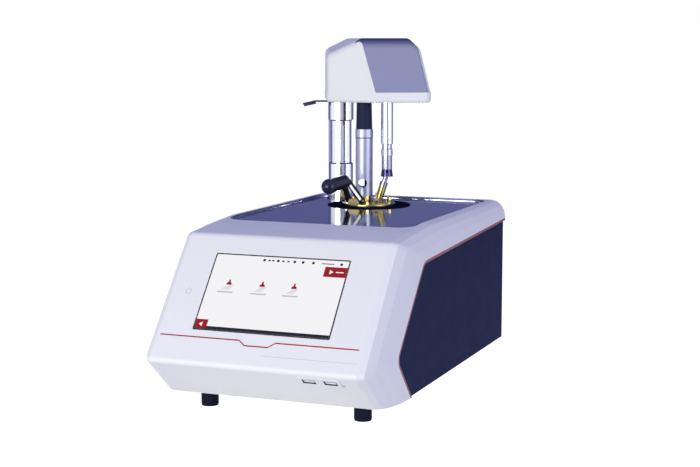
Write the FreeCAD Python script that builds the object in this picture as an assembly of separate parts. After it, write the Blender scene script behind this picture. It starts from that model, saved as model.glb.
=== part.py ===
import FreeCAD, Part
import math
import os

# Closed-cup bench tester: a wedge-shaped housing with a sloping display, a
# polished deck with a cooled cup well, and a head that a column lifts off the
# cup.  Millimetres; +Z up, -Y towards the user, origin at the middle of the
# footprint on the bench.

# Housing
HOUSING_DEPTH = 464.0
HOUSING_HEIGHT = 173.7
FOOT_HEIGHT = 21.1
WALL = 3.0
BAND_HALF_WIDTH = 133.0
CREASE_SIDE_INSET = 18.0
BAND_STEPS = 5
CHAMFER_RUN = 51.3
NOSE_RISE = 43.3
NOSE_RADIUS = 5.0
SLOPE_RUN = 97.7
CREASE_DROP = 8.7
CREASE_RADIUS = 10.0
SHOULDER_RUN = 49.3
SHOULDER_DROP = 3.8
CROWN_RUN = 55.0

# Side outline, measured from the housing's front, bottom and top
SIDE_FOOT_RUN = 113.2
SIDE_KNEE_RUN = 70.6
SIDE_KNEE_RISE = 47.3
SIDE_KNEE_RADIUS = 12.5
SIDE_CREST_RUN = 152.9
SIDE_CREST_DROP = 36.2
SIDE_CREST_RADIUS = 21.0
SIDE_REAR_DROP = 24.0

# Side panels and their trim lines
PANEL_THICKNESS = 2.2
PANEL_SINK = 2.6
TRIM_WIDTH = 1.7
TRIM_PROUD = 1.5
POCKET_LIP = 1.0
SIDE_WALL = 3.0

# Fits
FIT_GAP = 0.1
SEAT_GAP = 0.2
RUNNING_GAP = 0.06
OVERRUN = 5.0

# Base plate and rear panel
SHEET = 2.5
REAR_INSET = 3.0
VENT_WIDTH = 4.0
VENT_PITCH = 9.0
VENT_LENGTH = 56.0
VENT_COUNT = 6
REAR_VENT_HEIGHT = 60.0
REAR_VENT_SIDE_INSET = 71.0

# Feet
FOOT_RADIUS = 9.5
FOOT_TOP_RADIUS = 9.0
FOOT_SIDE_INSET = 43.8
FOOT_END_INSET = 85.3
FOOT_LIP = 2.0
FOOT_SCREW_RADIUS = 2.0
FOOT_SCREW_HEAD_RADIUS = 3.8
FOOT_SCREW_HEAD = 3.0
FOOT_RECESS = 6.0

# Display in the slope, measured down from the crease
SCREEN_WIDTH = 152.4
SCREEN_HEIGHT = 91.4
SCREEN_TOP = 24.8
GLASS_BORDER = 1.0
GLASS_THICKNESS = 1.9
GLASS_LEDGE = 3.0
GLASS_CORNER = 1.5
LCD_MARGIN = 5.5
LCD_THICKNESS = 5.0
DISPLAY_BOARD_GAP = 3.0
BOARD_THICKNESS = 1.6
STANDOFF_RADIUS = 2.6

# Stripe under the display
STRIPE_DOWN = 125.6
STRIPE_WIDTH = 1.3
STRIPE_DEPTH = 0.5
STRIPE_PROUD = 0.15
STRIPE_END_INSET = 3.5
STRIPE_DIP = 5.6
STRIPE_DIP_TOP = 20.5
STRIPE_DIP_BOTTOM = 13.0

# Sockets in the lower chamfer, measured down from the nose
SOCKET_SIDE_INSET = 30.6
SOCKET_PITCH = 23.6
SOCKET_DOWN = 15.0
SOCKET_COUNT = 2
SOCKET_WIDTH = 14.0
SOCKET_HEIGHT = 7.4
SOCKET_DEPTH = 14.0
SOCKET_WALL = 0.7
SOCKET_FLOOR = 2.5
TONGUE_WIDTH = 10.6
TONGUE_HEIGHT = 1.9
TONGUE_SINK = 1.5
SURROUND_WIDTH = 46.0
SURROUND_HEIGHT = 17.0
SURROUND_PROUD = 0.6
SURROUND_CORNER = 3.0

# Deck plate
DECK_RECESS = 3.0
DECK_THICKNESS = 1.5
DECK_SIDE_INSET = 21.0
DECK_FRONT_RUN = 170.0
DECK_BACK_MARGIN = 2.5
DECK_CORNER = 20.0
DECK_LEDGE = 6.0
DECK_LIP = 0.8
DECK_LIP_DROP = 0.3
LEDGE_THICKNESS = 3.0

# Cup well, with heights measured from the deck's top
WELL_FROM_BACK = 85.7
HEAD_SWING = 21.8
RING_RADIUS = 51.0
RING_FLANGE = 0.8
RING_NECK_RADIUS = 46.5
RING_BORE = 34.5
RING_DEPTH = 7.0
CUP_RIM_DROP = 1.3
CUP_RIM_THICKNESS = 2.5
CUP_RIM_RADIUS = 33.0
CUP_INNER_RADIUS = 25.4
CUP_WALL = 2.5
CUP_DEPTH = 56.0
LID_RADIUS = 32.5
LID_THICKNESS = 4.5
LID_SPIGOT = 2.0

# Cooling under the well
BLOCK_RADIUS = 36.0
BLOCK_FLOOR = 6.0
BLOCK_FLANGE_RADIUS = 54.0
BLOCK_FLANGE = 3.0
BLOCK_FLANGE_DROP = 8.0
POST_RADIUS = 3.0
POST_CIRCLE = 50.0
POST_COUNT = 4
INSULATION_RADIUS = 47.0
PELTIER_SIZE = 40.0
PELTIER_THICKNESS = 4.0
SINK_SIZE = 72.0
SINK_BASE = 6.0
SINK_FIN_HEIGHT = 22.0
SINK_FIN = 1.6
SINK_FIN_COUNT = 12
FAN_SIZE = 70.0
FAN_DEPTH = 15.0
FAN_BORE = 32.0
FAN_HUB_RADIUS = 12.0
FAN_STRUT = 3.0
FAN_STRUT_COUNT = 3
FAN_PIN_RADIUS = 1.5
FAN_BLADE_COUNT = 7
FAN_BLADE_RADIUS = 30.5
FAN_BLADE_CHORD = 13.0
FAN_BLADE_THICKNESS = 1.4
FAN_BLADE_ANGLE = 40.0
FAN_ROTOR_DEPTH = 9.0

# Lift column, placed in the swung frame of the head
COLUMN_U = -35.0
COLUMN_W = 60.0
COLUMN_RADIUS = 13.4
COLUMN_BORE = 10.0
SLEEVE_RADIUS = 15.3
SLEEVE_NECK_RADIUS = 14.6
SLEEVE_TOP = 46.5
SLEEVE_DEPTH = 7.0
COLLAR_RADIUS = 16.0
COLLAR_HEIGHT = 22.0
GUIDE_BESIDE = 11.9
GUIDE_BEHIND = 18.0
GUIDE_RADIUS = 4.0
GUIDE_BUSH_RADIUS = 5.0
GUIDE_BUSH_FLANGE_RADIUS = 6.0
GUIDE_BUSH_FLANGE = 1.2
LIFT_STROKE = 70.0
LIFT_FOOT_THICKNESS = 4.0
LIFT_SHELF_THICKNESS = 6.0
LIFT_UPRIGHT = 4.0
CARRIAGE_THICKNESS = 8.0
CARRIAGE_RISE = 10.4
CARRIAGE_MARGIN = 5.5
SCREW_OFFSET = 37.0
LIFT_SIDE_INSET = 24.02
SCREW_RADIUS = 4.0
SCREW_END_RADIUS = 2.5
LIFT_MOTOR_SIZE = 28.0
LIFT_MOTOR_HEIGHT = 32.0
LIFT_MOTOR_GRIP = 10.0
SHELF_GAP = 2.0

# Clamp lever under the head
LEVER_THICKNESS = 2.0
LEVER_RING_RADIUS = 16.2
LEVER_LENGTH = 48.0
LEVER_WIDTH = 7.0
LEVER_PADDLE = 11.0
LEVER_PADDLE_LENGTH = 16.0
LEVER_DROOP = 3.6
LEVER_NOTCH = 3.0

# Head: plan faces round a centre, as turn of the outward normal, distance and
# lean, with heights measured from the deck's top
HEAD_LOW = 126.7
HEAD_RIM = 12.5
HEAD_HEIGHT = 77.5
HEAD_U = 10.0
HEAD_W = 20.0
HEAD_WALL = 2.5
HEAD_RIM_PROUD = 0.4
HEAD_EDGE_RADIUS = 9.0
HEAD_RIM_RADIUS = 4.0
HEAD_LEFT_ANGLE = 182.5
HEAD_LEFT_CLEARANCE = 4.4
HEAD_FACET_ANGLE = 240.3
HEAD_FACET_REACH = 54.8
HEAD_FRONT_ANGLE = 279.4
HEAD_FRONT_REACH = 58.4
HEAD_FRONT_LEAN_ANGLE = 11.3
HEAD_RIGHT_ANGLE = 0.0
HEAD_RIGHT_REACH = 64.0
HEAD_RIGHT_LEAN_ANGLE = 13.6
HEAD_BACK_ANGLE = 77.7
HEAD_BACK_CLEARANCE = 4.25
HEAD_BACK_LEAN_ANGLE = 4.0
HEAD_BROW_ANGLE = 190.5
HEAD_BROW_LEAN_ANGLE = 62.4
HEAD_BROW_REACH = 69.0
HEAD_BROW_RISE = 43.3
HEAD_SHOULDER_LEAN_ANGLE = 46.4
HEAD_SHOULDER_REACH = 45.0
HEAD_SHOULDER_RISE = 57.7
FACE_SINK = 0.4
FACE_THICKNESS = 6.4
FACE_LEFT_MARGIN = 1.6
FACE_RIGHT_MARGIN = 2.5
HEAD_CRISP_RADIUS = 2.0
HEAD_BASE_THICKNESS = 3.0
HEAD_BASE_INSET = 1.0
HEAD_SCREW_RADIUS = 2.5
HEAD_SCREW_HEAD = 1.6
CLAMP_RADIUS = 16.0
CLAMP_HEIGHT = 10.0
COLUMN_HEAD_REACH = 20.0

# Stirrer drive and its motor
DRIVE_U = 22.0
DRIVE_RADIUS = 7.3
DRIVE_TUBE_LOW = 75.2
DRIVE_TUBE_HIGH = 146.0
DRIVE_SHAFT_RADIUS = 3.0
DRIVE_COLLAR_RADIUS = 7.0
DRIVE_COLLAR_LOW = 61.2
DRIVE_COLLAR_HIGH = 68.8
DRIVE_GROOVE_RADIUS = 6.0
DRIVE_SPINDLE_RADIUS = 6.4
CLAW_RADIUS = 7.5
CLAW_BORE = 5.2
CLAW_LOW = 35.2
CLAW_HEIGHT = 8.0
CLAW_HOLLOW = 13.0
CLAW_SLOT = 3.2
CLAW_SLOT_HEIGHT = 7.4
DRIVE_PIN_RADIUS = 1.2
DRIVE_PIN_HEIGHT = 120.2
DRIVE_PIN_PROUD = 0.5
BEARING_RADIUS = 11.0
BEARING_HEIGHT = 6.0
MOUNT_RADIUS = 17.0
MOUNT_WALL = 2.5
MOUNT_HEIGHT = 19.3
MOTOR_RADIUS = 14.0
MOTOR_HEIGHT = 32.0
MOTOR_GRIP = 8.0
MOTOR_CAP_RADIUS = 6.0
MOTOR_CAP = 3.0

# Tilted stirrer, with lengths along its axis from the joint's centre
JOINT_HEIGHT = 39.2
STIRRER_TILT = 16.5
STIRRER_BALL = 3.2
STIRRER_PIN_RADIUS = 0.8
STIRRER_PIN_HALF = 6.2
NECK_RADIUS = 3.0
FERRULE_RADIUS = 5.0
FERRULE_START = 11.5
FERRULE_END = 15.6
BUSH_START = 16.0
BUSH_RADIUS = 4.7
BUSH_BASE_RADIUS = 7.5
BUSH_BASE = 2.0
SHAFT_RADIUS = 2.5
BLADE_START = 84.0
BLADE_HEIGHT = 7.0
BLADE_REACH = 9.0
BLADE_THICKNESS = 1.2
BLADE_COUNT = 4
BLADE_ANGLE = 35.0

# Detector over the lid
DETECTOR_U = -6.0
DETECTOR_W = 8.0
BOSS_RADIUS = 9.5
BOSS_HEIGHT = 7.4
DETECTOR_RADIUS = 10.6
DETECTOR_WALL = 1.6
DETECTOR_LOW = 10.8
DETECTOR_HEIGHT = 72.9
DETECTOR_FLOOR = 3.0
CROSS_BORE = 5.5
CROSS_BORE_HEIGHT = 26.9
CROSS_BORE_SHIFT = -2.0
SIDE_HOLE = 2.5
SIDE_HOLE_HEIGHT = 73.2
DETECTOR_COLLAR_RADIUS = 10.3
DETECTOR_COLLAR = 9.5
PLUG_LOW_RADIUS = 10.0
PLUG_HIGH_RADIUS = 9.0
PLUG_HEAD_REACH = 8.0
PROBE_RADIUS = 1.6
PROBE_U = 5.5
PROBE_W = 4.0
PROBE_DEPTH = 41.8
PROBE_TOP = 40.0

# Shutter and igniter on the lid
WINDOW_U = 8.5
WINDOW_W = -17.0
WINDOW_SIZE = 6.0
SHUTTER_LENGTH = 10.0
SHUTTER_WIDTH = 9.0
SHUTTER_THICKNESS = 0.8
SHUTTER_TRAVEL = 8.0
RAIL_WIDTH = 1.4
RAIL_LIP = 0.8
IGNITER_W = -27.5
IGNITER_HEIGHT = 8.5
IGNITER_LIFT = 45.0
IGNITER_RADIUS = 1.2
IGNITER_TIP = 6.0
IGNITER_HUB_RADIUS = 2.4
IGNITER_HUB_WIDTH = 3.6
IGNITER_PIN_RADIUS = 1.0
IGNITER_EAR = 1.5
IGNITER_EAR_REACH = 2.0

# Fork handle on the lid
HANDLE_U = -17.0
HANDLE_W = -22.0
HANDLE_TURN = -45.0
HANDLE_PIVOT = 8.0
HANDLE_HALF_SPAN = 9.8
LEG_THICKNESS = 3.0
LEG_WIDTH = 7.0
LEG_EYE_RADIUS = 4.0
HANDLE_PIN_RADIUS = 1.5
HANDLE_PIN_PROUD = 0.5
HANDLE_BAR_WIDTH = 6.0
HANDLE_BAR_CLEARANCE = 0.8
ROOT_HALF_SPAN = 4.6
ROOT_REACH = 17.2
ROOT_RISE = 24.2
BALL_REACH = 44.8
BALL_RISE = 19.6
BALL_RADIUS = 9.2
GRIP_RADIUS = 8.2

# Electronics
MAIN_BOARD_SIDE_INSET = 33.0
MAIN_BOARD_Y = -55.0
MAIN_BOARD_WIDTH = 150.0
MAIN_BOARD_DEPTH = 110.0
MAIN_BOARD_RISE = 6.0
BOARD_EDGE = 6.0
CHIP_SIZE = 18.0
CHIP_HEIGHT = 3.0
SUPPLY_SIDE_INSET = 20.0
SUPPLY_Y = 55.0
SUPPLY_WIDTH = 88.0
SUPPLY_DEPTH = 96.0
SUPPLY_HEIGHT = 38.0
SUPPLY_SHEET = 1.5
HEAD_BOARD_U = 42.0
HEAD_BOARD_W = 34.0
HEAD_BOARD_WIDTH = 34.0
HEAD_BOARD_DEPTH = 30.0
HEAD_BOARD_RISE = 5.0

# Power inlet and switch on the rear panel
INLET_SIDE_INSET = 75.0
INLET_RISE = 40.0
INLET_WIDTH = 27.6
INLET_HEIGHT = 19.8
INLET_WALL = 1.7
INLET_DEPTH = 19.0
INLET_FLOOR = 4.0
INLET_FLANGE = 4.0
INLET_FLANGE_THICKNESS = 2.0
PIN_WIDTH = 2.0
PIN_HEIGHT = 4.0
PIN_PITCH = 7.0
PIN_LENGTH = 10.0
PIN_RISE = 1.0
EARTH_RISE = 4.0
SWITCH_SIDE_INSET = 37.0
SWITCH_FRAME_WIDTH = 15.0
SWITCH_FRAME_HEIGHT = 22.4
ROCKER_WIDTH = 10.0
ROCKER_HEIGHT = 17.0
ROCKER_OUT = 5.5
ROCKER_IN = 4.0
ROCKER_TILT = 7.0
ROCKER_PIVOT_INSET = 6.8
ROCKER_PIN_RADIUS = 1.2
ROCKER_CLEARANCE = 0.9
SWITCH_WALL = 1.6
SWITCH_DEPTH = 8.0

base_low = FOOT_HEIGHT
base_top = base_low + SHEET
housing_top = base_low + HOUSING_HEIGHT
crease_half_width = BAND_HALF_WIDTH - CREASE_SIDE_INSET
front_y = -HOUSING_DEPTH / 2
back_y = HOUSING_DEPTH / 2
deck_top = housing_top - DECK_RECESS
deck_low = deck_top - DECK_THICKNESS
deck_half_width = BAND_HALF_WIDTH - DECK_SIDE_INSET
swing = math.radians(HEAD_SWING)
column_beside = COLUMN_U * math.cos(swing) - COLUMN_W * math.sin(swing)
well_x = LIFT_SIDE_INSET + SCREW_OFFSET - BAND_HALF_WIDTH - column_beside
well_y = back_y - WELL_FROM_BACK
side_x = BAND_HALF_WIDTH - PANEL_SINK
pocket_x = side_x - PANEL_THICKNESS - SEAT_GAP
reach_all = HOUSING_DEPTH + HOUSING_HEIGHT
foot_x = BAND_HALF_WIDTH - FOOT_SIDE_INSET
foot_y = HOUSING_DEPTH / 2 - FOOT_END_INSET
stripe_end = crease_half_width - STRIPE_END_INSET
socket_x = crease_half_width - SOCKET_SIDE_INSET - SOCKET_PITCH * (SOCKET_COUNT - 1)
rear_vent_x = REAR_VENT_SIDE_INSET - BAND_HALF_WIDTH
inlet_x = BAND_HALF_WIDTH - INLET_SIDE_INSET
switch_x = BAND_HALF_WIDTH - SWITCH_SIDE_INSET
main_board_x = MAIN_BOARD_SIDE_INSET + MAIN_BOARD_WIDTH / 2 - BAND_HALF_WIDTH
supply_x = BAND_HALF_WIDTH - SUPPLY_SIDE_INSET - SUPPLY_WIDTH / 2
guide_u = COLUMN_U - GUIDE_BESIDE
guide_w = COLUMN_W + GUIDE_BEHIND
lid_top = LID_THICKNESS - CUP_RIM_DROP
cup_floor = -CUP_RIM_DROP - CUP_DEPTH
block_low = cup_floor - CUP_WALL - SEAT_GAP - BLOCK_FLOOR
rim_top = HEAD_LOW + HEAD_RIM
head_top = HEAD_LOW + HEAD_HEIGHT
head_floor = HEAD_LOW + HEAD_BASE_INSET + HEAD_BASE_THICKNESS
lever_low = HEAD_LOW - SEAT_GAP - LEVER_THICKNESS
collar_top = lever_low - SEAT_GAP
detector_top = DETECTOR_LOW + DETECTOR_HEIGHT

Z_AXIS = FreeCAD.Vector(0, 0, 1)
X_AXIS = FreeCAD.Vector(1, 0, 0)
Y_AXIS = FreeCAD.Vector(0, 1, 0)


def vec(x, y, z):
    return FreeCAD.Vector(x, y, z)


def block(x_low, x_high, y_low, y_high, z_low, z_high):
    return Part.makeBox(x_high - x_low, y_high - y_low, z_high - z_low, vec(x_low, y_low, z_low))


def centred(x, y, width, depth, z_low, z_high):
    return block(x - width / 2, x + width / 2, y - depth / 2, y + depth / 2, z_low, z_high)


def rod(radius, z_low, z_high, x=0, y=0):
    return Part.makeCylinder(radius, z_high - z_low, vec(x, y, z_low))


def tube(outer, inner, z_low, z_high, x=0, y=0):
    return rod(outer, z_low, z_high, x, y).cut(rod(inner, z_low - OVERRUN, z_high + OVERRUN, x, y))


def cone(low_radius, high_radius, z_low, z_high, x=0, y=0):
    return Part.makeCone(low_radius, high_radius, z_high - z_low, vec(x, y, z_low))


def fused(shapes):
    """Join shapes into one clean solid."""
    return shapes[0].multiFuse(shapes[1:]).removeSplitter() if len(shapes) > 1 else shapes[0]


def group(shapes):
    return Part.makeCompound(shapes)


def mirrored(shape):
    return shape.mirror(vec(0, 0, 0), X_AXIS)


def interior_half_angle(before, corner, after):
    """Half of the angle between the two runs that meet at a corner."""
    one = math.atan2(before[1] - corner[1], before[0] - corner[0])
    two = math.atan2(after[1] - corner[1], after[0] - corner[0])
    turn = abs(one - two) % (2 * math.pi)
    return min(turn, 2 * math.pi - turn) / 2


def rounded_edges(points, radii, place):
    """Edges of a closed outline whose corners are rounded; place maps a point to 3-D."""
    starts = []
    middles = []
    ends = []
    count = len(points)
    for index, corner in enumerate(points):
        before = points[index - 1]
        after = points[(index + 1) % count]
        radius = radii[index]
        half = interior_half_angle(before, corner, after)
        to_before = (before[0] - corner[0], before[1] - corner[1])
        to_after = (after[0] - corner[0], after[1] - corner[1])
        length_before = math.hypot(*to_before)
        length_after = math.hypot(*to_after)
        unit_before = (to_before[0] / length_before, to_before[1] / length_before)
        unit_after = (to_after[0] / length_after, to_after[1] / length_after)
        tangent = radius / math.tan(half) if radius else 0
        bisector = (unit_before[0] + unit_after[0], unit_before[1] + unit_after[1])
        size = math.hypot(*bisector)
        reach = (radius / math.sin(half) - radius) if radius else 0
        shift = reach / size if size else 0
        starts.append((corner[0] + unit_before[0] * tangent, corner[1] + unit_before[1] * tangent))
        ends.append((corner[0] + unit_after[0] * tangent, corner[1] + unit_after[1] * tangent))
        middles.append((corner[0] + bisector[0] * shift, corner[1] + bisector[1] * shift))
    edges = []
    for index in range(count):
        if radii[index]:
            arc = Part.Arc(place(starts[index]), place(middles[index]), place(ends[index]))
            edges.append(arc.toShape())
        following = (index + 1) % count
        edges.append(Part.LineSegment(place(ends[index]), place(starts[following])).toShape())
    return edges


def outline_prism(points, radii, z_low, z_high):
    """Upright prism of an outline drawn in X and Y."""
    wire = Part.Wire(rounded_edges(points, radii, lambda point: vec(point[0], point[1], z_low)))
    return Part.Face(wire).extrude(vec(0, 0, z_high - z_low))


def rounded_block(x_low, x_high, y_low, y_high, z_low, z_high, radius):
    points = [(x_low, y_low), (x_high, y_low), (x_high, y_high), (x_low, y_high)]
    return outline_prism(points, [radius] * len(points), z_low, z_high)


def side_prism(points, radii, x_low, x_high):
    """Prism across X of an outline drawn in Y and Z."""
    wire = Part.Wire(rounded_edges(points, radii, lambda point: vec(x_low, point[0], point[1])))
    return Part.Face(wire).extrude(vec(x_high - x_low, 0, 0))


def inset_outline(points, insets):
    """Move each run of a closed outline inwards by its own inset."""
    count = len(points)
    area = sum(points[i][0] * points[(i + 1) % count][1] - points[(i + 1) % count][0] * points[i][1]
               for i in range(count))
    sense = math.copysign(1, area)
    runs = []
    for index in range(count):
        start = points[index]
        end = points[(index + 1) % count]
        along = (end[0] - start[0], end[1] - start[1])
        length = math.hypot(*along)
        normal = (-along[1] / length * sense, along[0] / length * sense)
        moved = (start[0] + normal[0] * insets[index], start[1] + normal[1] * insets[index])
        runs.append((moved, along))
    corners = []
    for index in range(count):
        one, along_one = runs[index - 1]
        two, along_two = runs[index]
        cross = along_one[0] * along_two[1] - along_one[1] * along_two[0]
        gap = (two[0] - one[0], two[1] - one[1])
        share = (gap[0] * along_two[1] - gap[1] * along_two[0]) / cross
        corners.append((one[0] + along_one[0] * share, one[1] + along_one[1] * share))
    return corners


# Housing outlines in Y and Z, from the bottom front corner round to the bottom back
def nose_overhang():
    """How far the sharp nose corner stands in front of its rounding."""
    corner = (front_y, base_low + NOSE_RISE)
    foot = (front_y + CHAMFER_RUN, base_low)
    crease = (front_y + SLOPE_RUN, housing_top - CREASE_DROP)
    half = interior_half_angle(foot, corner, crease)
    to_foot = math.atan2(foot[1] - corner[1], foot[0] - corner[0])
    to_crease = math.atan2(crease[1] - corner[1], crease[0] - corner[0])
    return NOSE_RADIUS / math.sin(half) * math.cos((to_foot + to_crease) / 2) - NOSE_RADIUS


def middle_outline():
    crease_y = front_y + SLOPE_RUN
    shoulder_y = crease_y + SHOULDER_RUN
    crown_y = shoulder_y + CROWN_RUN
    return [
        (front_y + CHAMFER_RUN, base_low),
        (front_y - nose_overhang(), base_low + NOSE_RISE),
        (crease_y, housing_top - CREASE_DROP),
        (shoulder_y, housing_top - SHOULDER_DROP),
        (crown_y, housing_top),
        (back_y, housing_top),
        (back_y, base_low),
    ]


def panel_outline():
    """Outline of the dark side panel, with two extra points along its straight top."""
    crest = (front_y + SIDE_CREST_RUN, housing_top - SIDE_CREST_DROP)
    rear = (back_y, housing_top - SIDE_REAR_DROP)
    shoulder_y = front_y + SLOPE_RUN + SHOULDER_RUN + CROWN_RUN
    crown_y = shoulder_y + CROWN_RUN
    climb = (rear[1] - crest[1]) / (rear[0] - crest[0])
    return [
        (front_y + SIDE_FOOT_RUN, base_low),
        (front_y + SIDE_KNEE_RUN, base_low + SIDE_KNEE_RISE),
        crest,
        (shoulder_y, crest[1] + climb * (shoulder_y - crest[0])),
        (crown_y, crest[1] + climb * (crown_y - crest[0])),
        rear,
        (back_y, base_low),
    ]


def front_insets(inset, open_inset):
    """Insets for the front and top runs, and for the back and bottom runs."""
    return [inset] * (len(middle_outline()) - 2) + [open_inset] * 2


def straight_top(points, insets):
    """Inset an outline whose top holds points in line, which are put back by height."""
    plain = [points[0], points[1], points[2], points[5], points[6]]
    plain_insets = [insets[0], insets[1], insets[2], insets[5], insets[6]]
    foot, knee, crest, rear, bottom = inset_outline(plain, plain_insets)
    climb = (rear[1] - crest[1]) / (rear[0] - crest[0])
    kept = [(y, crest[1] + climb * (y - crest[0])) for y in (points[3][0], points[4][0])]
    return [foot, knee, crest] + kept + [rear, bottom]


def band_edge_outline(inset, open_inset):
    """Outline where the band ends, just outside the trim line."""
    outset = 2 * FIT_GAP + TRIM_WIDTH + POCKET_LIP
    return straight_top(panel_outline(), front_insets(inset - outset, open_inset))


def housing_form(inset, open_inset, crease_x, edge_x):
    """Body whose faces sweep from the middle outline out to the band's edge."""
    middle = inset_outline(middle_outline(), front_insets(inset, open_inset))
    edge = band_edge_outline(inset, open_inset)
    middle_radii = [0, NOSE_RADIUS, CREASE_RADIUS, 0, 0, 0, 0]
    edge_radii = [0, SIDE_KNEE_RADIUS, SIDE_CREST_RADIUS, 0, 0, 0, 0]
    sections = []
    for step in range(-BAND_STEPS, BAND_STEPS + 1):
        if step == 0:
            continue
        swing = math.radians(90) * (abs(step) - 1) / (BAND_STEPS - 1)
        share = 1 - math.cos(swing)
        x = math.copysign(crease_x + (edge_x - crease_x) * math.sin(swing), step)
        points = [(a[0] + (b[0] - a[0]) * share, a[1] + (b[1] - a[1]) * share)
                  for a, b in zip(middle, edge)]
        radii = [a + (b - a) * share for a, b in zip(middle_radii, edge_radii)]
        place = lambda point, x=x: vec(x, point[0], point[1])
        sections.append(Part.Wire(rounded_edges(points, radii, place)))
    return Part.makeLoft(sections, True, True)


def slope_frame():
    """Placement on the display slope: origin at the crease, Y up the slope, Z outwards."""
    nose, crease = middle_outline()[1:3]
    angle = math.degrees(math.atan2(crease[1] - nose[1], crease[0] - nose[0]))
    return FreeCAD.Placement(vec(0, crease[0], crease[1]), FreeCAD.Rotation(X_AXIS, angle))


def chamfer_frame():
    """Placement on the lower chamfer: origin at the nose, Y up the face, Z outwards."""
    foot, nose = middle_outline()[0:2]
    angle = math.degrees(math.atan2(nose[1] - foot[1], nose[0] - foot[0]))
    return FreeCAD.Placement(vec(0, nose[0], nose[1]), FreeCAD.Rotation(X_AXIS, angle))


def well_frame():
    """Placement at the well's centre on the deck's top, square to the housing."""
    return FreeCAD.Placement(vec(well_x, well_y, deck_top), FreeCAD.Rotation())


def swung_frame():
    """Placement at the well's centre on the deck's top, turned with the head."""
    return FreeCAD.Placement(vec(well_x, well_y, deck_top), FreeCAD.Rotation(Z_AXIS, HEAD_SWING))


def at(shape, frame):
    placed = shape.copy()
    placed.Placement = frame.multiply(placed.Placement)
    return placed


def swung_point(u, w):
    """World X and Y of a place in the head's frame."""
    place = swung_frame().multVec(vec(u, w, 0))
    return place.x, place.y


def screen_rect(margin, z_low, z_high, radius):
    """Block on the slope that follows the screen's edge with a margin."""
    half = SCREEN_WIDTH / 2 + margin
    low = -(SCREEN_TOP + SCREEN_HEIGHT) - margin
    shape = rounded_block(-half, half, low, -SCREEN_TOP + margin, z_low, z_high, radius)
    return at(shape, slope_frame())


def stripe_form(width, z_low, z_high):
    """Thin line under the display that dips in the middle."""
    half = width / 2
    line = [(-stripe_end, 0), (-STRIPE_DIP_TOP, 0), (-STRIPE_DIP_BOTTOM, -STRIPE_DIP),
            (STRIPE_DIP_BOTTOM, -STRIPE_DIP), (STRIPE_DIP_TOP, 0), (stripe_end, 0)]
    upper = [(x, y - STRIPE_DOWN + half) for x, y in line]
    lower = [(x, y - STRIPE_DOWN - half) for x, y in reversed(line)]
    points = upper + lower
    return at(outline_prism(points, [0] * len(points), z_low, z_high), slope_frame())


def socket_centres():
    return [(socket_x + SOCKET_PITCH * index, -SOCKET_DOWN) for index in range(SOCKET_COUNT)]


def socket_holes(gap):
    holes = [centred(x, y, SOCKET_WIDTH + 2 * gap, SOCKET_HEIGHT + 2 * gap,
                     -WALL - OVERRUN, OVERRUN) for x, y in socket_centres()]
    return at(group(holes), chamfer_frame())


def deck_outline(margin, z_low, z_high):
    return rounded_block(-deck_half_width - margin, deck_half_width + margin,
                         front_y + DECK_FRONT_RUN - margin, back_y - DECK_BACK_MARGIN + margin,
                         z_low, z_high, DECK_CORNER + margin)


def pocket_form(gap, x_low, x_high):
    """Prism inside the band's lip, open at the back and the bottom."""
    outline = straight_top(panel_outline(),
                           front_insets(gap - 2 * FIT_GAP - TRIM_WIDTH, 0 if gap else -OVERRUN))
    radii = [0, SIDE_KNEE_RADIUS, SIDE_CREST_RADIUS, 0, 0, 0, 0]
    return side_prism(outline, radii, x_low, x_high)


def housing_shell():
    outer = housing_form(0, 0, crease_half_width, BAND_HALF_WIDTH)
    inner = housing_form(WALL, -OVERRUN, crease_half_width - WALL, pocket_x - SIDE_WALL)
    shell = outer.cut(inner)
    ledge_low = deck_low - LEDGE_THICKNESS
    tray = deck_outline(DECK_LEDGE, ledge_low, housing_top).common(outer)
    shell = shell.fuse(tray)
    shell = shell.cut(deck_outline(SEAT_GAP, deck_low, housing_top + OVERRUN))
    shell = shell.cut(deck_outline(-DECK_LEDGE, ledge_low - OVERRUN, housing_top))
    pocket = pocket_form(0, pocket_x, BAND_HALF_WIDTH + OVERRUN)
    shell = shell.cut(pocket).cut(mirrored(pocket))
    shell = shell.cut(screen_rect(GLASS_BORDER + FIT_GAP, -GLASS_THICKNESS, OVERRUN, GLASS_CORNER))
    shell = shell.cut(screen_rect(GLASS_BORDER - GLASS_LEDGE, -WALL - OVERRUN, 0, GLASS_CORNER))
    shell = shell.cut(stripe_form(STRIPE_WIDTH + 2 * FIT_GAP, -STRIPE_DEPTH, OVERRUN))
    shell = shell.cut(socket_holes(FIT_GAP))
    guide_bore = rod(GUIDE_BUSH_RADIUS + FIT_GAP, -SLEEVE_DEPTH - OVERRUN, 0, guide_u, guide_w)
    return shell.cut(at(guide_bore, swung_frame())).removeSplitter()


def side_panel():
    gap = TRIM_WIDTH + 2 * FIT_GAP
    return pocket_form(gap, pocket_x + SEAT_GAP, side_x)


def side_trims():
    """Thin lines in the pockets, along the front and the top of each panel."""
    outer = pocket_form(FIT_GAP, pocket_x + FIT_GAP, side_x + TRIM_PROUD)
    inner_outline = straight_top(panel_outline(), front_insets(-FIT_GAP, -OVERRUN))
    radii = [0, SIDE_KNEE_RADIUS, SIDE_CREST_RADIUS, 0, 0, 0, 0]
    inner = side_prism(inner_outline, radii, pocket_x - OVERRUN, BAND_HALF_WIDTH + OVERRUN)
    trim = outer.cut(inner)
    return group([trim, mirrored(trim)])


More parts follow.
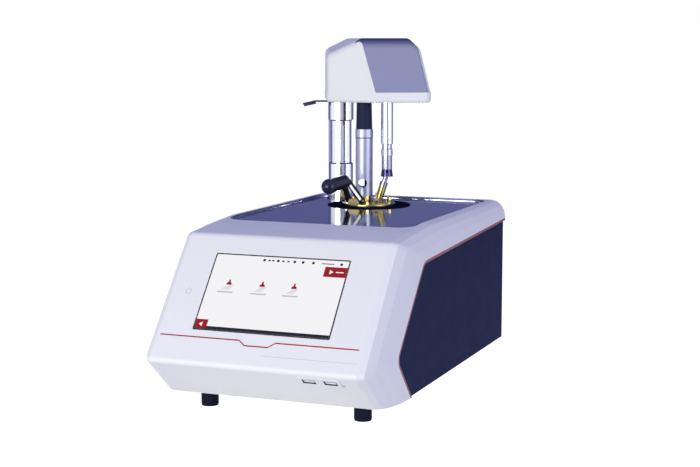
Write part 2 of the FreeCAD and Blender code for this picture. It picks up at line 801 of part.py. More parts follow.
def vent_slots(x, low, length, count, y_centre, upright):
    """Row of slots, cut through the base plate or, upright, through the rear panel."""
    slots = []
    for index in range(count):
        shift = (index - (count - 1) / 2) * VENT_PITCH
        if upright:
            slots.append(block(x + shift - VENT_WIDTH / 2, x + shift + VENT_WIDTH / 2,
                               back_y - reach_all / 2, back_y + OVERRUN, low, low + length))
        else:
            slots.append(centred(x + shift, y_centre, VENT_WIDTH, length,
                                 base_low - OVERRUN, base_top + OVERRUN))
    return group(slots)


def base_plate():
    cavity = housing_form(WALL + SEAT_GAP, -OVERRUN, crease_half_width - WALL,
                          pocket_x - SIDE_WALL - SEAT_GAP)
    rear = back_y - REAR_INSET
    slab = block(-BAND_HALF_WIDTH, BAND_HALF_WIDTH, front_y, rear, base_low, base_top)
    plate = cavity.common(slab)
    plate = plate.cut(vent_slots(well_x, base_low, VENT_LENGTH, VENT_COUNT, well_y, False))
    for x, y in foot_places():
        plate = plate.cut(rod(FOOT_SCREW_RADIUS + FIT_GAP, base_low - OVERRUN, base_top + OVERRUN, x, y))
    return plate


def rear_panel():
    cavity = housing_form(WALL + SEAT_GAP, -OVERRUN, crease_half_width - WALL,
                          pocket_x - SIDE_WALL - SEAT_GAP)
    rear = back_y - REAR_INSET
    slab = block(-BAND_HALF_WIDTH, BAND_HALF_WIDTH, rear - SHEET, rear,
                 base_top + SEAT_GAP, deck_low - LEDGE_THICKNESS - SEAT_GAP)
    plate = cavity.common(slab)
    low = base_top + INLET_RISE
    plate = plate.cut(vent_slots(rear_vent_x, low, REAR_VENT_HEIGHT, VENT_COUNT, 0, True))
    plate = plate.cut(inlet_body(FIT_GAP))
    plate = plate.cut(switch_body(FIT_GAP))
    return plate


def foot_places():
    return [(x, y) for x in (-foot_x, foot_x) for y in (-foot_y, foot_y)]


def foot(x, y):
    body = cone(FOOT_TOP_RADIUS, FOOT_RADIUS, 0, FOOT_LIP, x, y)
    body = body.fuse(rod(FOOT_RADIUS, FOOT_LIP, base_low, x, y))
    body = body.cut(rod(FOOT_SCREW_RADIUS + FIT_GAP, -OVERRUN, base_low + OVERRUN, x, y))
    return body.cut(rod(FOOT_SCREW_HEAD_RADIUS + FIT_GAP, -OVERRUN, FOOT_RECESS, x, y))


def foot_screw(x, y):
    head = rod(FOOT_SCREW_HEAD_RADIUS, FOOT_RECESS - FOOT_SCREW_HEAD, FOOT_RECESS, x, y)
    return head.fuse(rod(FOOT_SCREW_RADIUS, FOOT_RECESS, base_top + SHEET, x, y))


def display_glass():
    return screen_rect(GLASS_BORDER, FIT_GAP - GLASS_THICKNESS, 0, GLASS_CORNER)


def display_panel():
    return screen_rect(LCD_MARGIN, -WALL - SEAT_GAP - LCD_THICKNESS, -WALL - SEAT_GAP, GLASS_CORNER)


def display_board_top():
    return -WALL - SEAT_GAP - LCD_THICKNESS - DISPLAY_BOARD_GAP


def display_board():
    """Board behind the panel, with the four standoffs that carry it."""
    top = display_board_top()
    board = screen_rect(-BOARD_EDGE, top - BOARD_THICKNESS, top, GLASS_CORNER)
    half = SCREEN_WIDTH / 2 - 2 * BOARD_EDGE
    rows = (-SCREEN_TOP - 2 * BOARD_EDGE, -SCREEN_TOP - SCREEN_HEIGHT + 2 * BOARD_EDGE)
    posts = [rod(STANDOFF_RADIUS, top, top + DISPLAY_BOARD_GAP, x, y) for x in (-half, half) for y in rows]
    return group([board, at(group(posts), slope_frame())])


def front_stripe():
    return stripe_form(STRIPE_WIDTH, -STRIPE_DEPTH, STRIPE_PROUD)


def usb_sockets():
    sockets = []
    for x, y in socket_centres():
        front = SURROUND_PROUD
        shell = centred(x, y, SOCKET_WIDTH, SOCKET_HEIGHT, front - SOCKET_DEPTH, front)
        hollow = centred(x, y, SOCKET_WIDTH - 2 * SOCKET_WALL, SOCKET_HEIGHT - 2 * SOCKET_WALL,
                         front - SOCKET_DEPTH + SOCKET_FLOOR, front + OVERRUN)
        tongue = centred(x, y + TONGUE_HEIGHT / 2, TONGUE_WIDTH, TONGUE_HEIGHT,
                         front - SOCKET_DEPTH, front - TONGUE_SINK)
        sockets.append(shell.cut(hollow).fuse(tongue).removeSplitter())
    return at(group(sockets), chamfer_frame())


def socket_surround():
    middle_x = socket_x + SOCKET_PITCH * (SOCKET_COUNT - 1) / 2
    plate = rounded_block(middle_x - SURROUND_WIDTH / 2, middle_x + SURROUND_WIDTH / 2,
                          -SOCKET_DOWN - SURROUND_HEIGHT / 2, -SOCKET_DOWN + SURROUND_HEIGHT / 2,
                          0, SURROUND_PROUD, SURROUND_CORNER)
    return at(plate, chamfer_frame()).cut(socket_holes(FIT_GAP))


def deck_plate():
    """Steel pan with a thin upturned lip all round, cut for what stands in it."""
    lip_top = housing_top - DECK_LIP_DROP
    lip = deck_outline(0, deck_low, lip_top).cut(deck_outline(-DECK_LIP, deck_low - OVERRUN, housing_top))
    room = housing_form(DECK_LIP_DROP, -OVERRUN, crease_half_width - DECK_LIP_DROP, BAND_HALF_WIDTH)
    plate = deck_outline(0, deck_low, deck_top).fuse(lip.common(room)).removeSplitter()
    plate = plate.cut(at(rod(RING_NECK_RADIUS + FIT_GAP, -OVERRUN, OVERRUN), well_frame()))
    neck = rod(SLEEVE_NECK_RADIUS + FIT_GAP, -OVERRUN, OVERRUN, COLUMN_U, COLUMN_W)
    bush = rod(GUIDE_BUSH_RADIUS + FIT_GAP, -OVERRUN, OVERRUN, guide_u, guide_w)
    return plate.cut(at(neck, swung_frame())).cut(at(bush, swung_frame()))


# Cup well and cooling, built round the well's centre
def well_ring():
    neck = rod(RING_NECK_RADIUS, -RING_DEPTH, 0)
    flange = rod(RING_RADIUS, 0, RING_FLANGE)
    ring = neck.fuse(flange)
    ring = ring.cut(rod(RING_BORE, -CUP_RIM_DROP - CUP_RIM_THICKNESS, OVERRUN))
    ring = ring.cut(rod(CUP_INNER_RADIUS + CUP_WALL + FIT_GAP, -RING_DEPTH - OVERRUN, OVERRUN))
    return at(ring.removeSplitter(), well_frame())


def test_cup():
    body = rod(CUP_INNER_RADIUS + CUP_WALL, cup_floor - CUP_WALL, -CUP_RIM_DROP)
    rim = rod(CUP_RIM_RADIUS, -CUP_RIM_DROP - CUP_RIM_THICKNESS, -CUP_RIM_DROP)
    cup = body.fuse(rim).cut(rod(CUP_INNER_RADIUS, cup_floor, OVERRUN))
    return at(cup.removeSplitter(), well_frame())


def cooling_block():
    """Block with a bore for the cup, and the posts that hang it from the deck."""
    bore_low = cup_floor - CUP_WALL - SEAT_GAP
    body = rod(BLOCK_RADIUS, block_low, -BLOCK_FLANGE_DROP)
    flange = rod(BLOCK_FLANGE_RADIUS, -BLOCK_FLANGE_DROP - BLOCK_FLANGE, -BLOCK_FLANGE_DROP)
    body = body.fuse(flange)
    body = body.cut(rod(CUP_INNER_RADIUS + CUP_WALL + SEAT_GAP, bore_low, OVERRUN))
    posts = []
    for index in range(POST_COUNT):
        turn = math.radians(360 * index / POST_COUNT)
        posts.append(rod(POST_RADIUS, -BLOCK_FLANGE_DROP, -DECK_THICKNESS,
                         POST_CIRCLE * math.cos(turn), POST_CIRCLE * math.sin(turn)))
    return at(group([body.removeSplitter()] + posts), well_frame())


def insulation():
    top = -BLOCK_FLANGE_DROP - BLOCK_FLANGE - SEAT_GAP
    return at(tube(INSULATION_RADIUS, BLOCK_RADIUS + SEAT_GAP, block_low, top), well_frame())


def peltier_element():
    low = block_low - PELTIER_THICKNESS
    return at(centred(0, 0, PELTIER_SIZE, PELTIER_SIZE, low, block_low), well_frame())


def sink_top():
    return block_low - PELTIER_THICKNESS


def fan_top():
    return sink_top() - SINK_BASE - SINK_FIN_HEIGHT


def heat_sink():
    top = sink_top()
    parts = [centred(0, 0, SINK_SIZE, SINK_SIZE, top - SINK_BASE, top)]
    pitch = (SINK_SIZE - SINK_FIN) / (SINK_FIN_COUNT - 1)
    for index in range(SINK_FIN_COUNT):
        x = -(SINK_SIZE - SINK_FIN) / 2 + pitch * index
        parts.append(centred(x, 0, SINK_FIN, SINK_SIZE, fan_top(), top - SINK_BASE))
    return at(fused(parts), well_frame())


def fan_frame():
    top = fan_top()
    low = top - FAN_DEPTH
    frame = centred(0, 0, FAN_SIZE, FAN_SIZE, low, top).cut(rod(FAN_BORE, low - OVERRUN, top + OVERRUN))
    parts = [frame, rod(FAN_HUB_RADIUS, low, low + FAN_STRUT)]
    for index in range(FAN_STRUT_COUNT):
        strut = block(0, FAN_BORE + FAN_STRUT, -FAN_STRUT / 2, FAN_STRUT / 2, low, low + FAN_STRUT)
        strut.rotate(vec(0, 0, 0), Z_AXIS, 360 * index / FAN_STRUT_COUNT)
        parts.append(strut)
    parts.append(rod(FAN_PIN_RADIUS, low, low + FAN_STRUT + FAN_ROTOR_DEPTH / 2))
    return at(fused(parts), well_frame())


def fan_rotor():
    low = fan_top() - FAN_DEPTH + FAN_STRUT + SEAT_GAP
    high = low + FAN_ROTOR_DEPTH
    parts = [rod(FAN_HUB_RADIUS, low, high)]
    middle = (low + high) / 2
    sweep = tube(FAN_BLADE_RADIUS, FAN_HUB_RADIUS / 2, low, high)
    for index in range(FAN_BLADE_COUNT):
        blade = block(0, FAN_BORE, -FAN_BLADE_CHORD / 2, FAN_BLADE_CHORD / 2,
                      -FAN_BLADE_THICKNESS / 2, FAN_BLADE_THICKNESS / 2)
        blade.rotate(vec(0, 0, 0), X_AXIS, FAN_BLADE_ANGLE)
        blade.translate(vec(0, 0, middle))
        blade.rotate(vec(0, 0, 0), Z_AXIS, 360 * index / FAN_BLADE_COUNT)
        parts.append(blade.common(sweep))
    rotor = fused(parts)
    bore = rod(FAN_PIN_RADIUS + RUNNING_GAP, low - OVERRUN, low + FAN_ROTOR_DEPTH / 2 + SEAT_GAP)
    return at(rotor.cut(bore), well_frame())


# Lift: column, guides, screw and motor
def column():
    low = base_top + CARRIAGE_RISE - deck_top
    high = head_floor + COLUMN_HEAD_REACH
    return at(tube(COLUMN_RADIUS, COLUMN_BORE, low, high, COLUMN_U, COLUMN_W), swung_frame())


def column_sleeve():
    upper = rod(SLEEVE_RADIUS, 0, SLEEVE_TOP, COLUMN_U, COLUMN_W)
    neck = rod(SLEEVE_NECK_RADIUS, -SLEEVE_DEPTH, 0, COLUMN_U, COLUMN_W)
    bore = rod(COLUMN_RADIUS + RUNNING_GAP, -SLEEVE_DEPTH - OVERRUN, SLEEVE_TOP + OVERRUN,
               COLUMN_U, COLUMN_W)
    return at(upper.fuse(neck).cut(bore).removeSplitter(), swung_frame())


def upper_collar():
    shape = tube(COLLAR_RADIUS, COLUMN_RADIUS + FIT_GAP, collar_top - COLLAR_HEIGHT, collar_top,
                 COLUMN_U, COLUMN_W)
    return at(shape, swung_frame())


def guide_rod():
    low = base_top + CARRIAGE_RISE - deck_top
    return at(rod(GUIDE_RADIUS, low, head_floor + CLAMP_HEIGHT, guide_u, guide_w), swung_frame())


def guide_bush():
    flange = rod(GUIDE_BUSH_FLANGE_RADIUS, 0, GUIDE_BUSH_FLANGE, guide_u, guide_w)
    neck = rod(GUIDE_BUSH_RADIUS, -SLEEVE_DEPTH, 0, guide_u, guide_w)
    bore = rod(GUIDE_RADIUS + RUNNING_GAP, -SLEEVE_DEPTH - OVERRUN, OVERRUN, guide_u, guide_w)
    return at(flange.fuse(neck).cut(bore).removeSplitter(), swung_frame())


def lift_screw_place():
    x, y = swung_point(COLUMN_U, COLUMN_W)
    return x - SCREW_OFFSET, y


def lift_extent():
    """Plan limits of the lift's plates: left, right, front and back."""
    column_x, column_y = swung_point(COLUMN_U, COLUMN_W)
    guide_y = swung_point(guide_u, guide_w)[1]
    screw_x = lift_screw_place()[0]
    left = screw_x - LIFT_MOTOR_SIZE / 2
    right = column_x + COLUMN_RADIUS + SHELF_GAP
    front = column_y - COLUMN_RADIUS - CARRIAGE_MARGIN
    back = guide_y + GUIDE_RADIUS + CARRIAGE_MARGIN / 2
    return left, right, front, back


def lift_shelf_low():
    return base_top + CARRIAGE_RISE + CARRIAGE_THICKNESS + LIFT_STROKE + SHELF_GAP


def lift_holes(z_low, z_high, gap):
    column_x, column_y = swung_point(COLUMN_U, COLUMN_W)
    guide_x, guide_y = swung_point(guide_u, guide_w)
    return group([rod(COLUMN_RADIUS + gap, z_low, z_high, column_x, column_y),
                  rod(GUIDE_RADIUS + gap, z_low, z_high, guide_x, guide_y)])


def lift_frame():
    left, right, front, back = lift_extent()
    shelf_low = lift_shelf_low()
    shelf_high = shelf_low + LIFT_SHELF_THICKNESS
    upright_y = back + SHELF_GAP / 2
    parts = [
        block(left, right, front, upright_y + LIFT_UPRIGHT, base_top, base_top + LIFT_FOOT_THICKNESS),
        block(left, right, upright_y, upright_y + LIFT_UPRIGHT, base_top, shelf_high),
        block(left, right, front, upright_y + LIFT_UPRIGHT, shelf_low, shelf_high),
    ]
    frame = fused(parts)
    frame = frame.cut(lift_holes(shelf_low - OVERRUN, shelf_high + OVERRUN, RUNNING_GAP))
    x, y = lift_screw_place()
    return frame.cut(rod(SCREW_END_RADIUS + RUNNING_GAP, base_top, shelf_high + OVERRUN, x, y))


def lift_carriage():
    left, right, front, back = lift_extent()
    low = base_top + CARRIAGE_RISE
    high = low + CARRIAGE_THICKNESS
    plate = block(left, right, front, back, low, high)
    plate = plate.cut(lift_holes(low - OVERRUN, high + OVERRUN, 0))
    x, y = lift_screw_place()
    return plate.cut(rod(SCREW_RADIUS + RUNNING_GAP, low - OVERRUN, high + OVERRUN, x, y))


def lift_screw():
    x, y = lift_screw_place()
    foot_top = base_top + LIFT_FOOT_THICKNESS
    shelf_low = lift_shelf_low()
    motor_low = shelf_low + LIFT_SHELF_THICKNESS
    body = rod(SCREW_RADIUS, foot_top + SEAT_GAP, shelf_low - SEAT_GAP, x, y)
    ends = rod(SCREW_END_RADIUS, base_top + SEAT_GAP, motor_low + LIFT_MOTOR_GRIP, x, y)
    return body.fuse(ends).removeSplitter()


def lift_motor():
    x, y = lift_screw_place()
    low = lift_shelf_low() + LIFT_SHELF_THICKNESS
    size = LIFT_MOTOR_SIZE
    body = rounded_block(x - size / 2, x + size / 2, y - size / 2, y + size / 2,
                         low, low + LIFT_MOTOR_HEIGHT, CARRIAGE_MARGIN / 2)
    socket = rod(SCREW_END_RADIUS + RUNNING_GAP, low - OVERRUN, low + LIFT_MOTOR_GRIP + SEAT_GAP, x, y)
    return body.cut(socket)


def clamp_lever():
    """Thin lever with a ring round the column and a drooping, notched paddle."""
    high = lever_low + LEVER_THICKNESS
    low = lever_low - LEVER_DROOP
    end = COLUMN_U - LEVER_LENGTH
    bend = end + LEVER_PADDLE_LENGTH
    root = COLUMN_U - COLUMN_RADIUS
    profile = [(root, high), (bend, high), (end, high - LEVER_DROOP),
               (end, low), (bend, lever_low), (root, lever_low)]
    wire = Part.makePolygon([vec(u, COLUMN_W - LEVER_PADDLE / 2, z) for u, z in profile + profile[:1]])
    strip = Part.Face(wire).extrude(vec(0, LEVER_PADDLE, 0))
    narrow = LEVER_WIDTH / 2
    wide = LEVER_PADDLE / 2
    plan = [(root, -narrow), (bend, -narrow), (bend - LEVER_NOTCH, -narrow + LEVER_NOTCH / 2),
            (bend - LEVER_NOTCH, -wide), (end, -wide), (end, wide),
            (bend, wide), (bend, narrow), (root, narrow)]
    plan = [(u, w + COLUMN_W) for u, w in plan]
    arm = strip.common(outline_prism(plan, [0] * len(plan), low - OVERRUN, high + OVERRUN))
    ring = rod(LEVER_RING_RADIUS, lever_low, high, COLUMN_U, COLUMN_W)
    hole = rod(COLUMN_RADIUS + RUNNING_GAP, low - OVERRUN, high + OVERRUN, COLUMN_U, COLUMN_W)
    return at(ring.fuse(arm).cut(hole).removeSplitter(), swung_frame())


# Head: a faceted cover, a sunk front panel and a base plate
def guide_reach(angle):
    """How far the guide rod stands out from the head's middle in a direction."""
    radians = math.radians(angle)
    along = (guide_u - HEAD_U) * math.cos(radians) + (guide_w - HEAD_W) * math.sin(radians)
    return along + GUIDE_RADIUS


def head_faces():
    """Angle, reach and lean of each wall, in order round the plan."""
    return [
        (HEAD_LEFT_ANGLE, guide_reach(HEAD_LEFT_ANGLE) + HEAD_LEFT_CLEARANCE, 0),
        (HEAD_FACET_ANGLE, HEAD_FACET_REACH, 0),
        (HEAD_FRONT_ANGLE, HEAD_FRONT_REACH, HEAD_FRONT_LEAN_ANGLE),
        (HEAD_RIGHT_ANGLE, HEAD_RIGHT_REACH, HEAD_RIGHT_LEAN_ANGLE),
        (HEAD_BACK_ANGLE, guide_reach(HEAD_BACK_ANGLE) + HEAD_BACK_CLEARANCE, HEAD_BACK_LEAN_ANGLE),
    ]


def head_corners(inset):
    """Plan corners at the top of the rim, where neighbouring walls meet."""
    faces = head_faces()
    corners = []
    for index, face in enumerate(faces):
        turn_a, reach_a = (math.radians(faces[index - 1][0]), faces[index - 1][1] - inset)
        turn_b, reach_b = (math.radians(face[0]), face[1] - inset)
        cross = math.sin(turn_b - turn_a)
        u = (reach_a * math.sin(turn_b) - reach_b * math.sin(turn_a)) / cross
        w = (reach_b * math.cos(turn_a) - reach_a * math.cos(turn_b)) / cross
        corners.append((HEAD_U + u, HEAD_W + w))
    return corners


def beyond(turn, reach, rise, lean):
    """Large block that lies outside a leaning plane."""
    size = reach_all
    half_space = block(-size, size, -size, size, 0, size)
    radians = math.radians(turn)
    place = vec(HEAD_U + reach * math.cos(radians), HEAD_W + reach * math.sin(radians), rise)
    tip = FreeCAD.Rotation(Y_AXIS, 90 - lean)
    around = FreeCAD.Rotation(Z_AXIS, turn)
    half_space.Placement = FreeCAD.Placement(place, around.multiply(tip))
    return half_space


def head_form(inset, front_sink, z_low):
    """Closed head body above a height, with every wall set in by an inset."""
    corners = head_corners(inset)
    body = outline_prism(corners, [0] * len(corners), z_low, head_top - inset)
    for turn, reach, lean in head_faces():
        sink = front_sink if turn == HEAD_FRONT_ANGLE else 0
        if lean:
            depth = (inset + sink) / math.cos(math.radians(lean))
            body = body.cut(beyond(turn, reach - depth, rim_top, lean))
    for turn, reach, rise, lean in (
            (HEAD_BROW_ANGLE, HEAD_BROW_REACH, HEAD_BROW_RISE, HEAD_BROW_LEAN_ANGLE),
            (HEAD_RIGHT_ANGLE, HEAD_SHOULDER_REACH, HEAD_SHOULDER_RISE, HEAD_SHOULDER_LEAN_ANGLE)):
        depth = inset / math.cos(math.radians(lean))
        body = body.cut(beyond(turn, reach - depth, rim_top + rise, lean))
    return body


def crisp_edge(edge):
    """True for the sharp upright edge between the white facet and the front panel."""
    low = min((vertex.Point for vertex in edge.Vertexes), key=lambda point: point.z)
    corner = head_corners(0)[2]
    upright = edge.BoundBox.ZLength > edge.BoundBox.XLength
    return upright and math.hypot(low.x - corner[0], low.y - corner[1]) < HEAD_EDGE_RADIUS + HEAD_WALL


def rounded_head(inset, front_sink, z_low):
    """Head body above a height with its top and upright edges rounded."""
    body = head_form(inset, front_sink, z_low)
    edges = [edge for edge in body.Edges
             if edge.BoundBox.ZMax > rim_top + HEAD_RIM / 2 and not crisp_edge(edge)]
    return body.makeFillet(HEAD_EDGE_RADIUS - inset, edges)


def head_outline(inset, radius, low, high):
    """Upright prism on the head's plan, with one corner left nearly sharp."""
    corners = head_corners(inset)
    radii = [radius] * len(corners)
    radii[2] = HEAD_CRISP_RADIUS
    return outline_prism(corners, radii, low, high)


def head_rim():
    """Band along the head's lower edge, just proud of the walls above it."""
    rim = head_outline(-HEAD_RIM_PROUD, HEAD_EDGE_RADIUS + HEAD_RIM_PROUD, HEAD_LOW, rim_top)
    low_edges = [edge for edge in rim.Edges if edge.BoundBox.ZMax < HEAD_LOW + FIT_GAP]
    return rim.makeFillet(HEAD_RIM_RADIUS, low_edges)


def face_window(gap):
    """Space in front of the head, above the rim, that holds the front panel."""
    depth = (FACE_SINK + FACE_THICKNESS - gap) / math.cos(math.radians(HEAD_FRONT_LEAN_ANGLE))
    window = beyond(HEAD_FRONT_ANGLE, HEAD_FRONT_REACH - depth, rim_top, HEAD_FRONT_LEAN_ANGLE)
    window = window.cut(beyond(HEAD_FACET_ANGLE, HEAD_FACET_REACH - FACE_LEFT_MARGIN - gap, rim_top, 0))
    window = window.cut(beyond(HEAD_RIGHT_ANGLE, HEAD_RIGHT_REACH - FACE_RIGHT_MARGIN - gap,
                               rim_top, HEAD_RIGHT_LEAN_ANGLE))
    size = reach_all
    return window.common(block(-size, size, -size, size, rim_top + gap, rim_top + size))


def head_shell():
    outer = head_rim().fuse(rounded_head(0, 0, rim_top))
    inner = rounded_head(HEAD_WALL, FACE_SINK + FACE_THICKNESS, rim_top)
    inset = HEAD_WALL - HEAD_RIM_PROUD
    mouth = head_outline(inset, HEAD_EDGE_RADIUS - inset, HEAD_LOW - OVERRUN, rim_top)
    shell = outer.cut(mouth.fuse(inner)).cut(face_window(0))
    return at(shell.removeSplitter(), swung_frame())


def head_front_panel():
    panel = rounded_head(0, FACE_SINK, rim_top).common(face_window(FIT_GAP))
    return at(panel, swung_frame())


def head_base():
    low = HEAD_LOW + HEAD_BASE_INSET
    inset = HEAD_WALL - HEAD_RIM_PROUD + SEAT_GAP
    plate = head_outline(inset, HEAD_EDGE_RADIUS - inset, low, head_floor)
    for radius, u, w in (
            (COLUMN_RADIUS, COLUMN_U, COLUMN_W),
            (GUIDE_RADIUS, guide_u, guide_w),
            (BEARING_RADIUS, DRIVE_U, 0),
            (PLUG_LOW_RADIUS, DETECTOR_U, DETECTOR_W)):
        plate = plate.cut(rod(radius + FIT_GAP, low - OVERRUN, head_floor + OVERRUN, u, w))
    return at(plate, swung_frame())


def head_screws():
    """Screws that hold the base plate, one near each corner but the column's."""
    low = HEAD_LOW + HEAD_BASE_INSET
    heads = []
    for u, w in head_corners(HEAD_WALL + HEAD_EDGE_RADIUS)[1:]:
        heads.append(rod(HEAD_SCREW_RADIUS, low - HEAD_SCREW_HEAD, low, u, w))
    return at(group(heads), swung_frame())


def column_clamp():
    shape = tube(CLAMP_RADIUS, COLUMN_RADIUS + FIT_GAP, head_floor, head_floor + CLAMP_HEIGHT,
                 COLUMN_U, COLUMN_W)
    return at(shape, swung_frame())


def head_board():
    """Small board on four standoffs."""
    low = head_floor + HEAD_BOARD_RISE
    board = centred(HEAD_BOARD_U, HEAD_BOARD_W, HEAD_BOARD_WIDTH, HEAD_BOARD_DEPTH,
                    low, low + BOARD_THICKNESS)
    chip_low = low + BOARD_THICKNESS
    chip = centred(HEAD_BOARD_U, HEAD_BOARD_W, CHIP_SIZE / 2, CHIP_SIZE / 2,
                   chip_low, chip_low + CHIP_HEIGHT)
    half_u = HEAD_BOARD_WIDTH / 2 - STANDOFF_RADIUS
    half_w = HEAD_BOARD_DEPTH / 2 - STANDOFF_RADIUS
    posts = [rod(STANDOFF_RADIUS, head_floor, head_floor + HEAD_BOARD_RISE,
                 HEAD_BOARD_U + u, HEAD_BOARD_W + w)
             for u in (-half_u, half_u) for w in (-half_w, half_w)]
    return at(group([board.fuse(chip).removeSplitter()] + posts), swung_frame())


# Stirrer drive in the head
def drive_bearing():
    low = HEAD_LOW + HEAD_BASE_INSET
    return at(tube(BEARING_RADIUS, DRIVE_RADIUS + RUNNING_GAP, low, low + BEARING_HEIGHT, DRIVE_U, 0),
              swung_frame())


def motor_mount():
    """Turret that carries the motor over the drive tube."""
    high = head_floor + MOUNT_HEIGHT
    turret = rod(MOUNT_RADIUS, head_floor, high, DRIVE_U, 0)
    turret = turret.cut(rod(MOUNT_RADIUS - MOUNT_WALL, head_floor - OVERRUN, high - MOUNT_WALL, DRIVE_U, 0))
    return at(turret.cut(rod(DRIVE_SHAFT_RADIUS + MOUNT_WALL, head_floor, high + OVERRUN, DRIVE_U, 0)),
              swung_frame())


def stirrer_motor():
    low = head_floor + MOUNT_HEIGHT
    high = low + MOTOR_HEIGHT
    cap = rod(MOTOR_CAP_RADIUS, high, high + MOTOR_CAP, DRIVE_U, 0)
    body = rod(MOTOR_RADIUS, low, high, DRIVE_U, 0).fuse(cap)
    bore = rod(DRIVE_SHAFT_RADIUS + RUNNING_GAP, low - OVERRUN, low + MOTOR_GRIP + SEAT_GAP, DRIVE_U, 0)
    return at(body.cut(bore).removeSplitter(), swung_frame())


def stirrer_drive():
    """Tube with stepped collars, a flared claw below and a thin shaft above."""
    shaft_high = head_floor + MOUNT_HEIGHT + MOTOR_GRIP
    claw_high = CLAW_LOW + CLAW_HEIGHT
    parts = [
        rod(DRIVE_RADIUS, DRIVE_TUBE_LOW, DRIVE_TUBE_HIGH, DRIVE_U, 0),
        rod(DRIVE_SHAFT_RADIUS, DRIVE_TUBE_HIGH, shaft_high, DRIVE_U, 0),
        rod(DRIVE_GROOVE_RADIUS, DRIVE_COLLAR_HIGH, DRIVE_TUBE_LOW, DRIVE_U, 0),
        rod(DRIVE_COLLAR_RADIUS, DRIVE_COLLAR_LOW, DRIVE_COLLAR_HIGH, DRIVE_U, 0),
        rod(DRIVE_SPINDLE_RADIUS, claw_high, DRIVE_COLLAR_LOW, DRIVE_U, 0),
        cone(CLAW_RADIUS, DRIVE_SPINDLE_RADIUS, CLAW_LOW, claw_high, DRIVE_U, 0),
    ]
    drive = fused(parts)
    drive = drive.cut(rod(CLAW_BORE, CLAW_LOW - OVERRUN, CLAW_LOW + CLAW_HOLLOW, DRIVE_U, 0))
    drive = drive.cut(cone(CLAW_RADIUS - FIT_GAP, CLAW_BORE, CLAW_LOW - FIT_GAP, CLAW_LOW + MOUNT_WALL,
                           DRIVE_U, 0))
    slot = centred(DRIVE_U, 0, CLAW_SLOT, 2 * CLAW_RADIUS + OVERRUN,
                   CLAW_LOW - OVERRUN, CLAW_LOW + CLAW_SLOT_HEIGHT)
    drive = drive.cut(slot)
    half = DRIVE_RADIUS + DRIVE_PIN_PROUD
    pin = Part.makeCylinder(DRIVE_PIN_RADIUS, 2 * half, vec(DRIVE_U, -half, DRIVE_PIN_HEIGHT), Y_AXIS)
    return at(drive.fuse(pin).removeSplitter(), swung_frame())


# Tilted stirrer: its own frame has the joint's centre as origin and Z up the axis
def stirrer_frame():
    tilt = FreeCAD.Placement(vec(DRIVE_U, 0, JOINT_HEIGHT), FreeCAD.Rotation(Y_AXIS, STIRRER_TILT))
    return swung_frame().multiply(tilt)


def bush_length():
    """Length along the axis from the joint's centre to the lid's top."""
    return (JOINT_HEIGHT - lid_top) / math.cos(math.radians(STIRRER_TILT))


def stirrer():
    blade_end = BLADE_START + BLADE_HEIGHT
    parts = [
        Part.makeSphere(STIRRER_BALL),
        Part.makeCylinder(STIRRER_PIN_RADIUS, 2 * STIRRER_PIN_HALF, vec(0, -STIRRER_PIN_HALF, 0), Y_AXIS),
        rod(NECK_RADIUS, -FERRULE_START, 0),
        rod(FERRULE_RADIUS, -FERRULE_END, -FERRULE_START),
        rod(SHAFT_RADIUS, -blade_end, -FERRULE_END),
    ]
    for index in range(BLADE_COUNT):
        blade = block(0, BLADE_REACH, -BLADE_THICKNESS / 2, BLADE_THICKNESS / 2,
                      -BLADE_HEIGHT / 2, BLADE_HEIGHT / 2)
        blade.rotate(vec(0, 0, 0), X_AXIS, BLADE_ANGLE)
        blade.translate(vec(0, 0, -BLADE_START - BLADE_HEIGHT / 2))
        blade.rotate(vec(0, 0, 0), Z_AXIS, 360 * index / BLADE_COUNT)
        parts.append(blade)
    return at(fused(parts), stirrer_frame())


def stirrer_bush():
    """Brass bush along the tilted axis, cut flat where it seats on the lid."""
    outer = rod(BUSH_RADIUS, -bush_length() - MOUNT_RADIUS, -BUSH_START)
    outer.Placement = stirrer_frame()
    seat_u = DRIVE_U - (JOINT_HEIGHT - lid_top) * math.tan(math.radians(STIRRER_TILT))
    outer = outer.fuse(at(rod(BUSH_BASE_RADIUS, lid_top, lid_top + BUSH_BASE, seat_u, 0), swung_frame()))
    bore = rod(SHAFT_RADIUS + RUNNING_GAP, -bush_length() - MOUNT_RADIUS - OVERRUN, 0)
    below = at(rod(reach_all, lid_top - reach_all, lid_top), swung_frame())
    return outer.cut(at(bore, stirrer_frame())).cut(below).removeSplitter()


# Lid with what stands on it
def cup_lid():
    disc = rod(LID_RADIUS, -CUP_RIM_DROP, lid_top)
    edge = [item for item in disc.Edges if item.BoundBox.ZMin > lid_top - FIT_GAP]
    disc = disc.makeFillet(RAIL_LIP, edge)
    spigot = rod(CUP_INNER_RADIUS - SEAT_GAP, -CUP_RIM_DROP - LID_SPIGOT, -CUP_RIM_DROP)
    boss = rod(BOSS_RADIUS, lid_top, lid_top + BOSS_HEIGHT - SEAT_GAP, DETECTOR_U, DETECTOR_W)
    lid = fused([disc, spigot, boss])
    probe = rod(PROBE_RADIUS + SEAT_GAP, -PROBE_DEPTH, DETECTOR_LOW + OVERRUN,
                DETECTOR_U + PROBE_U, DETECTOR_W + PROBE_W)
    window = centred(WINDOW_U, WINDOW_W, WINDOW_SIZE, WINDOW_SIZE, -PROBE_DEPTH, lid_top + OVERRUN)
    lid = at(lid.cut(probe).cut(window), swung_frame())
    shaft = rod(SHAFT_RADIUS + SEAT_GAP, -BLADE_START, 0)
    return lid.cut(at(shaft, stirrer_frame()))


def shutter_low():
    return lid_top + FIT_GAP


def lid_shutter():
    low = shutter_low()
    plate = centred(WINDOW_U, WINDOW_W, SHUTTER_LENGTH, SHUTTER_WIDTH, low, low + SHUTTER_THICKNESS)
    return at(plate, swung_frame())


